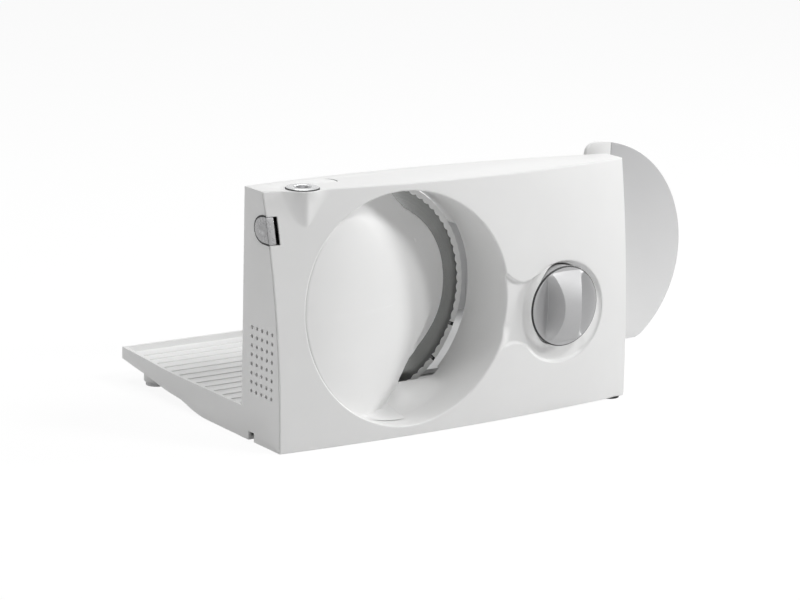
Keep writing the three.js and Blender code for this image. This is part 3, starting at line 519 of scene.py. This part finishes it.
def fan_angles():
    """Angles of the fan about the blade axis, with one at each corner of the panel."""
    turns = np.concatenate([
        np.arange(-37, 27, 0.3), np.arange(27, 104, 0.75), np.arange(104, 152, 0.4),
        np.arange(152, 270, 1.0), np.arange(270, 323, 0.5),
    ])
    for cx, cz in ((0, EDGE), (W, EDGE), (W, H), (0, H)):
        a = math.degrees(math.atan2(cz - AXIS_Z, cx - AXIS_X))
        a = a + 360 if a < -37 else a
        turns[np.argmin(np.abs(turns - a))] = a
    return np.sort(turns)


def to_edge(v, low, high):
    """Distance along a direction's share v to the panel's low or high edge."""
    up = np.where(np.abs(v) < 1e-9, 1e-9, v)
    down = np.where(np.abs(v) < 1e-9, -1e-9, v)
    return np.where(v > 0, high / up, low / down)


def front_cover():
    a = np.radians(fan_angles())
    c, s = np.cos(a), np.sin(a)

    def ring(r, y):
        return np.column_stack([AXIS_X + r * c, y, AXIS_Z + r * s])

    reach = np.minimum(to_edge(c, -AXIS_X, W - AXIS_X), to_edge(s, EDGE - AXIS_Z, H - AXIS_Z))
    bx, bz = AXIS_X + reach * c, AXIS_Z + reach * s
    inx, inz = AXIS_X + (BLADE_R + RIM) * c, AXIS_Z + (BLADE_R + RIM) * s
    outx, outz = np.clip(bx, CORNER, W - CORNER), np.clip(bz, EDGE + CORNER, H - CORNER)
    farx, farz = AXIS_X + (BLADE_R + BORE_WALL) * c, AXIS_Z + (BLADE_R + BORE_WALL) * s
    endx, endz = np.clip(bx, SKIN, W - SKIN), np.clip(bz, EDGE + SKIN, H - SKIN)
    near, far = [], []
    y_rim, y_far = face_y(inx, inz), face_y(farx, farz) + SKIN
    end = lerp(9.0, SKIRT_END, smooth((AXIS_X + BLADE_R * c - 64) / 12))
    end = np.maximum(end, y_rim + RIM + 2.4)
    low = sill_radius(np.degrees(np.arctan2(s, c)))
    # Rounded rear end of the bore.
    for p in np.radians([90, 60, 30]):
        y = end - 0.8 * (1 - math.sin(p))
        r = low + 0.8 * (1 - math.cos(p))
        near.append(ring(r, y))
        far.append(ring(r + 1.0, y))
    # Wall of the bore, from the rear to the rim.
    for t in np.linspace(0, 1, 26, endpoint=False):
        start = end - 0.8
        y = lerp(start, y_rim + RIM, t)
        r = lerp(BLADE_R, low, smooth((y - 16) / (SKIRT_END - 17)))
        near.append(ring(r, y))
        far.append(ring(r + BORE_WALL, lerp(start, y_far + 0.1, t)))
    # Rounded rim.
    for p in np.radians([0, 22, 45, 68]):
        near.append(ring(BLADE_R + RIM * (1 - math.cos(p)), y_rim + RIM * (1 - math.sin(p))))
        far.append(np.column_stack([farx, y_far + 0.1 * (1 - math.sin(p)), farz]))
    # Face.
    for t in np.linspace(0, 1, 150):
        x, z = lerp(inx, outx, t), lerp(inz, outz, t)
        near.append(np.column_stack([x, face_y(x, z), z]))
        x, z = lerp(farx, endx, t), lerp(farz, endz, t)
        far.append(np.column_stack([x, face_y(x, z) + SKIN, z]))
    # Rounded outer edge and the rim behind it.
    y_out, y_far = face_y(outx, outz), face_y(endx, endz) + SKIN
    for p in np.radians([25, 50, 72, 90]):
        k = math.sin(p)
        y = y_out + CORNER * (1 - math.cos(p))
        near.append(np.column_stack([lerp(outx, bx, k), y, lerp(outz, bz, k)]))
        far.append(np.column_stack([endx, lerp(y_far, y_out + COVER_EDGE, k), endz]))
    for rest in (CORNER + 0.12, COVER_EDGE):
        near.append(np.column_stack([bx, y_out + rest, bz]))
        far.append(np.column_stack([endx, y_out + COVER_EDGE + 0.1 * (COVER_EDGE - rest), endz]))
    verts, faces = skin(np.array(near), np.array(far))
    obj = shape(verts, faces)
    cut(obj, box(-4, LOCK_LIP + LOCK_GAP, -30, 70, LOCK_Z0 - 0.4, LOCK_Z1 + 0.4))
    cut(
        obj,
        rod("y", KNOB_X, KNOB_Z, KNOB_R + 0.35, -30, 30, 180),
        rod("z", BUTTON_X, BUTTON_Y, BUTTON_R + 0.6, H - 14, H + 5, 64),
        rod("z", BUTTON_X, BUTTON_Y, RING_R + 0.35, H - RING_SUNK, H + 5, 96),
    )
    return obj


def lower_edge(obj):
    """Lets the bottom edge down towards the floor at the left."""
    co = np.empty(len(obj.data.vertices) * 3)
    obj.data.vertices.foreach_get("co", co)
    p = co.reshape(-1, 3) * 1000 - SHIFT
    down = lerp(1.4, 0.5, np.clip(p[:, 0] / W, 0, 1)) * np.clip((14 - p[:, 2]) / 12.5, 0, 1)
    p[:, 2] -= np.where(p[:, 1] < TABLE_FRONT + 3, down, 0.0)
    obj.data.vertices.foreach_set("co", ((p + SHIFT) / 1000).ravel())
    return obj


piece(lower_edge(front_cover()), "cover_shell", "base", "white_plastic", white, "front_cover", angle=38)


# Slice guide: the sunken moon in the bore.
def slice_guide():
    turns = np.concatenate([np.arange(-180, -100, 2.0), np.arange(-100, 110, 1.0), np.arange(110, 180, 2.0)])
    a = np.radians(turns)[::-1]
    rim = guide_rim(turns[::-1])
    near, far = [], []
    for t in np.concatenate([[0.0, 0.04], np.linspace(0.1, 0.97, 44), [0.985, 0.994, 1.0]]):
        x, z = AXIS_X + rim * t * np.cos(a), AXIS_Z + rim * t * np.sin(a)
        drop = 0.7 * (1 - math.sqrt(max(0.0, 1 - ((t - 0.985) / 0.015) ** 2))) if t > 0.985 else 0.0
        y = guide_y(x, z)
        near.append(np.column_stack([x, y + np.where(np.abs(turns[::-1] + 103) < 21, 0.0, drop), z]))
        far.append(np.column_stack([x, y + 2.4, z]))
    verts, faces = skin(np.array(near), np.array(far))
    obj = shape(verts, faces)
    for dx, dz in GUIDE_POSTS:
        x, z = AXIS_X + dx, AXIS_Z + dz
        top = float(guide_y(np.array([x]), np.array([z]))[0])
        post = rod("y", x, z, 3.4, top + 1.4, MIDDLE_WALL - WALL - SEAM, 24)
        join(obj, cut(post, rod("y", x, z, 1.4, MIDDLE_WALL - WALL - 8, 60, 16)))
    return obj


arc_in = ring_points(AXIS_X, AXIS_Z, 86.2, 48, 100, 34)
arc_out = ring_points(AXIS_X, AXIS_Z, 87.3, 48, 34, 100)
guard_arc = round_edges(plate("y", [*arc_in, *arc_out], 34, 56), 0.3, 2)
piece(guard_arc, "blade_guard", "base", "white_plastic", white)
piece(slice_guide(), "guide_shell", "base", "white_plastic", white, "slice_guide", angle=38)


# Housing with the fixed table.
top_line = curve([(64, 48.5), (66.6, 46.8), (68, 44), (68.3, 40.5), (67.5, 36.6)], 6)


def wall_start(x, z):
    return front_y(np.asarray(x, float), np.asarray(z, float)) + COVER_EDGE + COVER_GAP


def housing():
    up = np.linspace(EDGE, H, 36)
    side_top = [(TABLE_FRONT, 23.4), (150, 23.4), (166, 23.9), (180, 24.6), (195, 25.4), (212, 26.1)]
    side_low = curve([
        (TABLE_END - 1, 17.5), (210, 15.1), (192, 13.0), (176, 10.5), (162, 8.4), (150, 7.3), (140, 6.5), (132, 5.0),
        (125, 3.2), (114, 1.3), (103, 0.4), (80, 0.3), (58, 0.2),
    ], 3)
    table_side = [(TABLE_END, TABLE_LIP), *side_low]
    left = [*zip(wall_start(0, up), up), (BACK_LEFT, H), (BACK_LEFT, 23.4), *side_top, *table_side, (BACK_LEFT, EDGE)]
    right = [*zip(wall_start(W, up), up), (PLATE_BACK, H), (PLATE_BACK, EDGE)]
    across = np.linspace(0, W, 160)
    pod = np.where(across < POD_END, pod_height(across, np.full(160, H)), 0.0)
    top = [*zip(across, wall_start(across, H) - pod), *zip(across[::-1], back_y(across[::-1]))]
    floor = [*zip(across, wall_start(across, EDGE)), (W, TABLE_FRONT + WALL), (0, TABLE_FRONT + WALL)]
    inner = MIDDLE_WALL - WALL
    guard = BLADE_R + 2
    turns = np.linspace(-180, 180, 120, endpoint=False)
    rim = np.where(guide_rim(turns) < BLADE_R - 1, guide_rim(turns) - 1, guard + 1.5)
    rim = np.where(np.abs(turns) < 86, GUIDE_R - 7.5, rim)
    middle = np.column_stack([AXIS_X + rim * np.cos(np.radians(turns)), AXIS_Z + rim * np.sin(np.radians(turns))])
    back_a = cut(
        box(0, AXIS_X, BACK_LEFT - WALL, BACK_LEFT, EDGE, H),
        rod("y", AXIS_X, AXIS_Z, guard, 0, 60, 160),
    )
    back_b = cut(
        box(AXIS_X - 1, W, PLATE_BACK - WALL, PLATE_BACK, EDGE, H),
        rod("y", AXIS_X, AXIS_Z, BLADE_R + 2.4, 0, 60, 160),
    )
    tube = cut(
        rod("y", AXIS_X, AXIS_Z, guard + WALL, inner, BACK_LEFT, 160),
        rod("y", AXIS_X, AXIS_Z, guard, inner - 1, BACK_LEFT + 1, 160),
        box(AXIS_X, W + 5, 0, 80, -5, H + 5),
    )
    obj = join(
        plate("x", left, 0, WALL),
        plate("x", right, W - WALL, W),
        plate("x", [(TABLE_FRONT, EDGE), *side_top, *table_side], W - WALL, W),
        plate("z", top, H - WALL, H),
        plate("z", floor, EDGE, EDGE + WALL),
        back_a, tube, plate("y", middle, inner, MIDDLE_WALL), back_b,
        box(0, W, TABLE_FRONT, TABLE_FRONT + WALL, EDGE, TABLE_TOP),
        box(0, 18, BACK_LEFT - 1, TABLE_FRONT + 1, EDGE, TABLE_TOP),
        box(0, W, TABLE_FRONT, TABLE_END - 0.5, TABLE_TOP - WALL, TABLE_TOP),
        box(0, W, TABLE_END - WALL, TABLE_END, 17.5, TABLE_LIP),
    )
    cut(
        obj,
        rod("y", AXIS_X, AXIS_Z, 8, 40, 60),
        rod("y", KNOB_X, KNOB_Z, 10, 20, 60),
        rod("z", BUTTON_X, BUTTON_Y, BUTTON_R + 0.6, H - 10, H + 5, 64),
        rod("z", BUTTON_X, BUTTON_Y, RING_R + 0.35, H - RING_SUNK, H + 5, 96),
        box(-1, 16, 39 - 3.7, 39 + 3.7, -1, 7.4),
        plate("z", [*top_line, *(top_line[::-1] + (1.5, 0.5))], H - 1.2, H + 2),
        plate("x", lock_outline(0.7), -1, WALL + 1),
    )
    for y in np.arange(64, TABLE_END - 10, RIB_STEP):
        join(obj, box(WALL, W - 5, y - 2.6, y + 2.6, TABLE_TOP - 0.5, TABLE_TOP + 0.8))
    round_edges(obj, 0.4, 3, 40)
    for x in (17, W - 17):
        join(obj, round_edges(rod("z", x, 205, 9.5, 3, TABLE_TOP - 1), 0.8))
    for c in range(5):
        for r in range(8):
            cut(obj, rod("x", 13 + c * VENT_STEP, 37.4 + r * VENT_STEP, 1.5, -1, WALL + 1, 20))
    return obj


def lock_front(up):
    """Face of the cover beside the lock, at heights."""
    return front_y(np.full(len(up), LOCK_X), up)


def lock_outline(play):
    mid, half = (LOCK_Z0 + LOCK_Z1) / 2, (LOCK_Z1 - LOCK_Z0) / 2 + play
    t = np.radians(np.linspace(-88, 88, 24))
    start = LOCK_BACK - LOCK_BEND
    nose = np.column_stack([start + (LOCK_BEND + play) * np.cos(t), mid + half * np.sin(t)])
    up = np.linspace(mid + half, mid - half, 8)
    return [(start, mid - half), *nose, (start, mid + half), *zip(lock_front(up) - 1 - play * 10, up)]


piece(lower_edge(housing()), "housing_shell", "base", "white_plastic", white, "housing", angle=30)
inlay = top_line[1:-1]
strip = plate("z", [*(inlay + (0.1, 0.03)), *(inlay[::-1] + (1.4, 0.47))], H - 1.1, H - 0.15)
piece(strip, "top_strip", "base", "black_plastic", dark_trim_and_painted_shade)
# Black sheet just behind the vent holes: painted shade inside the housing.
piece(box(WALL + 0.3, WALL + 0.9, 9, 44, 33, 89), "vent_shade_sheet", "base", "black_plastic", black)


# Blade: ground disc with a scalloped bevel and four slots in the edge.
def slot_gap(turn):
    """Degrees from an angle to the nearest slot."""
    return np.min([np.abs((turn - at + 180) % 360 - 180) for at in BLADE_SLOTS], axis=0)


def blade():
    turns = np.linspace(0, 2 * np.pi, BLADE_WAVES * WAVE_STEPS, endpoint=False)
    wave = np.abs(np.sin(turns * BLADE_WAVES / 2))
    inner = 81.3 - 1.3 * wave
    tip = 84.9 - 0.3 * wave
    slot = slot_gap(np.degrees(turns)) < 0.8
    level = np.full_like(turns, BLADE_FRONT)
    rear = level + BLADE_BACK - BLADE_FRONT
    rings = [
        (BLADE_BORE, rear), (BLADE_BORE, level), (22, level), (23, level - 0.25), (50, level - 0.25), (51, level),
        (77.6, level), (inner, level), (inner + 0.06, np.where(slot, BLADE_BACK - 0.3, level - 0.03)),
        (tip - 0.12, np.where(slot, BLADE_BACK - 0.25, level - 0.5)), (tip, level - 0.3), (tip, rear - 0.05),
        (tip - 0.2, rear), (60, rear), (BLADE_BORE, rear),
    ]
    c, s = np.cos(turns), np.sin(turns)
    verts = np.concatenate([np.column_stack([AXIS_X + r * c, y, AXIS_Z + r * s]) for r, y in rings])
    return shape(verts, ring_faces(len(rings), len(turns)))


disc = piece(blade(), "blade_disc", "blade_unit", "blade_steel", [blade_face, blade_edge_painted_sheen, black], "blade", angle=4)
# Bevel faces take the painted reflection; the faces in the four shallow slot grooves are painted black as painted
# shade.
for f, c in middles(disc):
    dx, dz = c[0] - AXIS_X, c[2] - AXIS_Z
    if math.hypot(dx, dz) > 79.9 and c[1] < BLADE_BACK - 0.05 and abs(f.normal.y) < 0.9999:
        f.material_index = 2 if slot_gap(math.degrees(math.atan2(dz, dx))) < 0.95 else 1


# Thickness knob: a disc with a crowned bar across it and a scoop on each side of the bar.
def knob():
    turns = np.linspace(0, 2 * np.pi, 240, endpoint=False)
    shares = np.concatenate([[0.0], np.linspace(0.02, 0.955, 90), [0.968, 0.98, 0.99, 0.997, 1.0]])
    near, far = [], []
    for t in shares:
        u, w = np.abs(KNOB_R * t * np.cos(turns)), KNOB_R * t * np.sin(turns)
        half = 7.6 + 5.4 * (np.abs(w) / 26.0) ** 2
        crown = np.minimum(KNOB_FRONT + 10.6 * (np.abs(w) / 27.0) ** 2.1 + 0.003 * u * u, KNOB_RIM)
        edge = np.sqrt(np.maximum(30.0**2 - w * w, 1.0))
        fold = np.minimum(half + 4.6, edge - 0.5)
        bottom = KNOB_RIM + 4.6 * np.clip((edge - fold) / 17.0, 0.0, 1.0)
        trough = lerp(KNOB_RIM, bottom, smooth((edge - u) / np.maximum(edge - fold, 0.5)))
        climb = np.clip((u - half) / np.maximum(fold - half, 0.3), 0.0, 1.0)
        y = np.where(u < half, crown, np.where(u < fold, lerp(crown, bottom, climb), trough))
        y = np.minimum(y, -5.5)
        drop = 1.3 * (1 - math.sqrt(max(0.0, 1 - ((t - 0.955) / 0.045) ** 2))) if t > 0.955 else 0.0
        x = KNOB_X + KNOB_R * t * np.cos(turns)
        near.append(np.column_stack([x, y + drop, KNOB_Z + w]))
        far.append(np.column_stack([KNOB_X + (x - KNOB_X) * 0.97, np.full_like(u, 0.5), KNOB_Z + w * 0.97]))
    verts, faces = skin(np.array(near)[:, ::-1], np.array(far)[:, ::-1])
    return cut(shape(verts, faces), rod("y", KNOB_X, KNOB_Z, SPINDLE_R, -8, 10))


grip = piece(knob(), "knob_grip", "knob", "silver_trim", [knob_paint, dark_trim_and_painted_shade], "thickness_knob", angle=16)
# Faces round the knob's edge, low on its side, are painted near black: painted shade of the gap around the knob.
for f, c in middles(grip):
    if KNOB_R - 1.15 < math.hypot(c[0] - KNOB_X, c[2] - KNOB_Z) and c[1] < KNOB_RIM + 1.5:
        f.material_index = 1


# Power button with its ring, let into the top.
top = H - RING_SUNK
bezel = piece(turned("z", BUTTON_X, BUTTON_Y, [
    (RING_IN, top + 0.3), (RING_R - 0.5, top + 0.3), (RING_R, top + 0.5), (RING_R, top + 1.5),
    (RING_R - 0.3, top + 1.9), (RING_R - 0.9, top + 2.3), (RING_R - 1.8, top + 2.5), (RING_IN + 1.2, top + 2.55),
    (RING_IN + 0.5, top + 2.4), (RING_IN + 0.1, top + 2.0), (RING_IN, top + 0.3),
]), "button_bezel", "base", "silver_trim", [silver, dark_trim_and_painted_shade], "button_ring", angle=50)
# The ring's outer side, below its rounded top, is painted near black: painted shade and a painted dark reflection at
# the ring's foot.
for f, c in middles(bezel):
    if c[2] < top + 1.95 and math.hypot(c[0] - BUTTON_X, c[1] - BUTTON_Y) > RING_R - 1:
        f.material_index = 1
piece(turned("z", BUTTON_X, BUTTON_Y, [
    (0, H - 12), (3, H - 12), (3, H - 5), (BUTTON_R - 0.1, H - 5), (BUTTON_R, H - 4.8), (BUTTON_R, top + 1.4),
    (BUTTON_R - 0.2, top + 1.8), (BUTTON_R - 0.6, top + 2.05), (BUTTON_R - 1.2, top + 2.1),
    (BUTTON_R - 1.9, top + 1.8), (3.4, top + 1.1), (2.6, top + 0.7), (1.2, top + 0.5), (0, top + 0.45),
]), "button_cap", "power", "silver_trim", cap_paint, "power_button", angle=50)


# Lock button on the left edge, dished for a thumb, with black pieces round and behind its gap as painted shade.
def ahead(gap):
    """Block in front of the lock that ends a gap behind the cover's face."""
    low, high = LOCK_Z0 - 4, LOCK_Z1 + 4
    y_low, y_high = lock_front(np.array([low, high])) + gap
    return plate("x", [(-40, low), (y_low, low), (y_high, high), (-40, high)], -20, 30)


def lock_button():
    body = plate("x", lock_outline(-0.3), -LOCK_OUT, WALL - SEAM - 0.4)
    up = np.linspace(LOCK_Z1, LOCK_Z0, 8)
    lip = [*zip(lock_front(up) + 0.1, up), *zip(lock_front(up[::-1]) + 1.4, up[::-1])]
    join(body, plate("x", lip, -LOCK_OUT, LOCK_LIP - 0.4))
    cut(body, ahead(0.1))
    round_edges(body, 0.7, 3, 40)
    mid = (LOCK_Z0 + LOCK_Z1) / 2
    dish = [(DISH_R * math.sin(t), DISH_DEEP - DISH_R * (1 - math.cos(t))) for t in np.radians(range(5, 80, 5))]
    dish = [(0.0, DISH_DEEP), *dish, (DISH_R - 0.1, -8), (0, -8)]
    cut(body, turned("x", 26.3, mid, [(r, d - LOCK_OUT) for r, d in dish], 48))
    return join(body, rod("x", LOCK_BACK - LOCK_BEND, mid, 3, 1, 12, 24))


key = piece(lock_button(), "lock_key", "lock", "silver_trim", [key_paint, black], "lock_button", angle=35)
# Faces of the key deep in its gap are painted black: painted shade in the gap.
for f, c in middles(key):
    if c[0] > LOCK_LIP - 0.5:
        f.material_index = 1
# Black ring filling the gap round the key: painted shade of the gap.
gap_shade_ring = cut(plate("x", lock_outline(0.95), -0.3, 3.2), plate("x", lock_outline(0.05), -1, 5))
cut(gap_shade_ring, ahead(COVER_EDGE + COVER_GAP + 0.1))
piece(gap_shade_ring, "lock_gap_shade_ring", "base", "black_plastic", black)
# Black plate behind the gap, inside the cover: painted shade.
piece(box(5.3, 14, 31.2, 31.8, LOCK_Z0 - 0.2, LOCK_Z1 + 0.2), "lock_gap_shade_plate", "base", "black_plastic", black)


# Stop plate and its wing.
def stop_plate():
    front = PLATE_FACE - PLATE_T
    low = math.degrees(math.asin((PLATE_LOW - AXIS_Z) / PLATE_ARC))
    high = math.degrees(math.asin((PLATE_HIGH - AXIS_Z) / PLATE_ARC))
    inner = ring_points(AXIS_X, AXIS_Z, PLATE_ARC, 90, high, low)
    outer = ring_points(AXIS_X, AXIS_Z, PLATE_ARC + 2, 90, low, high)
    head = WING_Z + WING_R
    tops = [(x, WING_Z + math.sqrt(WING_R**2 - (x - WING_X) ** 2)) for x in np.linspace(WING_SPLIT, WING_X, 8)]
    corner = curve([
        (WING_X, head), (308, head - 0.5), (304.6, head - 2.0), (302.2, head - 4.6), (WING_CORNER, head - 8.5),
        (WING_CORNER, 178),
    ], 6)
    notch = [(WING_CORNER, 174), (299.6, 172.4), (297.2, PLATE_HIGH)]
    rim = [*inner, (WING_SPLIT, PLATE_LOW), *tops, *corner[1:], *notch]
    obj = join(
        plate("y", rim, front, PLATE_FACE),
        plate("y", [*inner, *outer], front - 3, front + 1),
        rod("y", KNOB_X, KNOB_Z, 9, 28, front + 1),
    )
    cut(obj, rod("y", KNOB_X, KNOB_Z, SPINDLE_R, 0, front))
    for x, z in GUIDE_PINS:
        cut(obj, rod("y", x, z, 4.3, 0, front + 1.8, 32))
    return round_edges(obj, 0.5, 3, 40)


def stop_wing():
    front = PLATE_FACE - PLATE_T
    foot = math.degrees(math.asin((PLATE_LOW - WING_Z) / WING_R))
    head = math.degrees(math.acos((WING_SPLIT + SEAM - WING_X) / WING_R))
    rim = [(WING_SPLIT + SEAM, PLATE_LOW), *ring_points(WING_X, WING_Z, WING_R, 120, foot + 2.5, head)]
    rim.insert(1, (WING_X + WING_R * math.cos(math.radians(foot)) - 2.2, PLATE_LOW))
    tab = front - SEAM
    obj = join(
        plate("y", rim, front, PLATE_FACE),
        box(WING_SPLIT - 12, WING_SPLIT + 6, tab - 2.5, tab, 60, 150),
        box(WING_SPLIT + SEAM, WING_SPLIT + 6, tab - 2.5, front + 1, 60, 150),
    )
    return round_edges(obj, 0.7, 3, 40)


piece(stop_plate(), "stop_carrier", "stop", "white_plastic", white, "stop_plate", angle=35)
# The wing takes the plastic with painted shade that darkens towards its top.
piece(stop_wing(), "stop_fan", "stop", "grey_plastic", wing_painted_shade, "stop_wing", angle=35)


# The other nodes keep their shape, with rounded edges and a material of their own.
looks = {
    "bare_steel": steel, "motor_can": can, "natural_plastic": natural, "black_plastic": black, "rubber_foot": rubber,
    "grey_plastic": grey, "white_plastic": white, "silver_trim": silver, "blade_steel": blade_face,
}
# Own looks, with painted shade: the lock spring is black so the lock's gap reads dark, and the carriage, remnant
# holder and rear feet take a grey that stands in for the shade they sit in.
own_look = {
    "lock_spring": black, "carriage": shade_grey, "remnant_holder": shade_grey, "foot_rear_left": shade_grey,
    "foot_rear_right": shade_grey,
}
for row in frame["record"]["subparts"]:
    if row["node"] in stood_for:
        continue
    obj = nodes[row["node"]]
    obj.data.materials.clear()
    obj.data.materials.append(own_look.get(row["node"], looks[row["material_slot"]]))
    soften(obj, 30)
    if "spring" not in row["node"]:
        edge = obj.modifiers.new("edges", "BEVEL")
        edge.width = 0.0004 if row["node"] in ("carriage", "remnant_holder", "blade_cap") else 0.00018
        edge.segments = 2
        edge.limit_method = "ANGLE"
        edge.angle_limit = math.radians(42)


# Studio: pale floor, white surround, two lamps from the right, a wide one above and two weak ones from the left.
def surround_rays(tree):
    """1 for the rays that see the white surround: from the camera, off gloss and through glass."""
    path = tree.nodes.new("ShaderNodeLightPath")
    rays = path.outputs["Is Camera Ray"]
    for ray in ("Is Glossy Ray", "Is Transmission Ray"):
        either = tree.nodes.new("ShaderNodeMath")
        either.operation = "MAXIMUM"
        tree.links.new(rays, either.inputs[0])
        tree.links.new(path.outputs[ray], either.inputs[1])
        rays = either.outputs[0]
    return rays


def stage_material():
    m, tree, bsdf, coords = new_material("floor_paper")
    paper = shades(tree, noise(tree, coords, 6), (0.3, (0.74, 0.74, 0.74)), (0.7, (0.77, 0.77, 0.77)))
    tree.links.new(paper, bsdf.inputs["Base Color"])
    bsdf.inputs["Roughness"].default_value = 0.9
    share = tree.nodes.new("ShaderNodeMath")
    share.operation = "MULTIPLY"
    share.inputs[1].default_value = 0.86
    tree.links.new(surround_rays(tree), share.inputs[0])
    glow = tree.nodes.new("ShaderNodeEmission")
    glow.inputs["Color"].default_value = (1, 1, 1, 1)
    glow.inputs["Strength"].default_value = 1.06
    mix = tree.nodes.new("ShaderNodeMixShader")
    tree.links.new(share.outputs[0], mix.inputs["Fac"])
    tree.links.new(bsdf.outputs[0], mix.inputs[1])
    tree.links.new(glow.outputs[0], mix.inputs[2])
    tree.links.new(mix.outputs[0], tree.nodes["Material Output"].inputs["Surface"])
    return m


floor_mesh = bpy.data.meshes.new("floor")
floor_mesh.from_pydata([(-6, -6, 0), (6, -6, 0), (6, 6, 0), (-6, 6, 0)], [], [(0, 1, 2, 3)])
floor_mesh.materials.append(stage_material())
floor = bpy.data.objects.new("floor", floor_mesh)
scene.collection.objects.link(floor)

world = bpy.data.worlds.new("studio")
scene.world = world
world.use_nodes = True
wt = world.node_tree
ambient = wt.nodes["Background"]
ambient.inputs["Color"].default_value = (1, 1, 1, 1)
ambient.inputs["Strength"].default_value = 0.12
backdrop = wt.nodes.new("ShaderNodeBackground")
backdrop.inputs["Color"].default_value = (1, 1, 1, 1)
backdrop.inputs["Strength"].default_value = 1.0
blend = wt.nodes.new("ShaderNodeMixShader")
wt.links.new(surround_rays(wt), blend.inputs["Fac"])
wt.links.new(ambient.outputs[0], blend.inputs[1])
wt.links.new(backdrop.outputs[0], blend.inputs[2])
wt.links.new(blend.outputs[0], wt.nodes["World Output"].inputs["Surface"])


LAMP_AIM = (0, 0, 0.09)


def lamp(name, at, size, power):
    data = bpy.data.lights.new(name, "AREA")
    data.shape = "DISK"
    data.size = size
    data.energy = power
    obj = bpy.data.objects.new(name, data)
    obj.location = at
    obj.rotation_euler = (Vector(LAMP_AIM) - Vector(at)).to_track_quat("-Z", "Y").to_euler()
    scene.collection.objects.link(obj)


lamp("key", (2.13, -0.93, 0.83), 0.5, 25)
lamp("front_top", (0.85, -1.21, 1.85), 0.5, 18.5)
lamp("top", (-0.1, 0.2, 2.2), 1.6, 21)
lamp("left", (-2.05, 0.85, 0.9), 1.2, 4)
lamp("left_front", (-2.1, -0.9, 0.7), 1.2, 4.2)
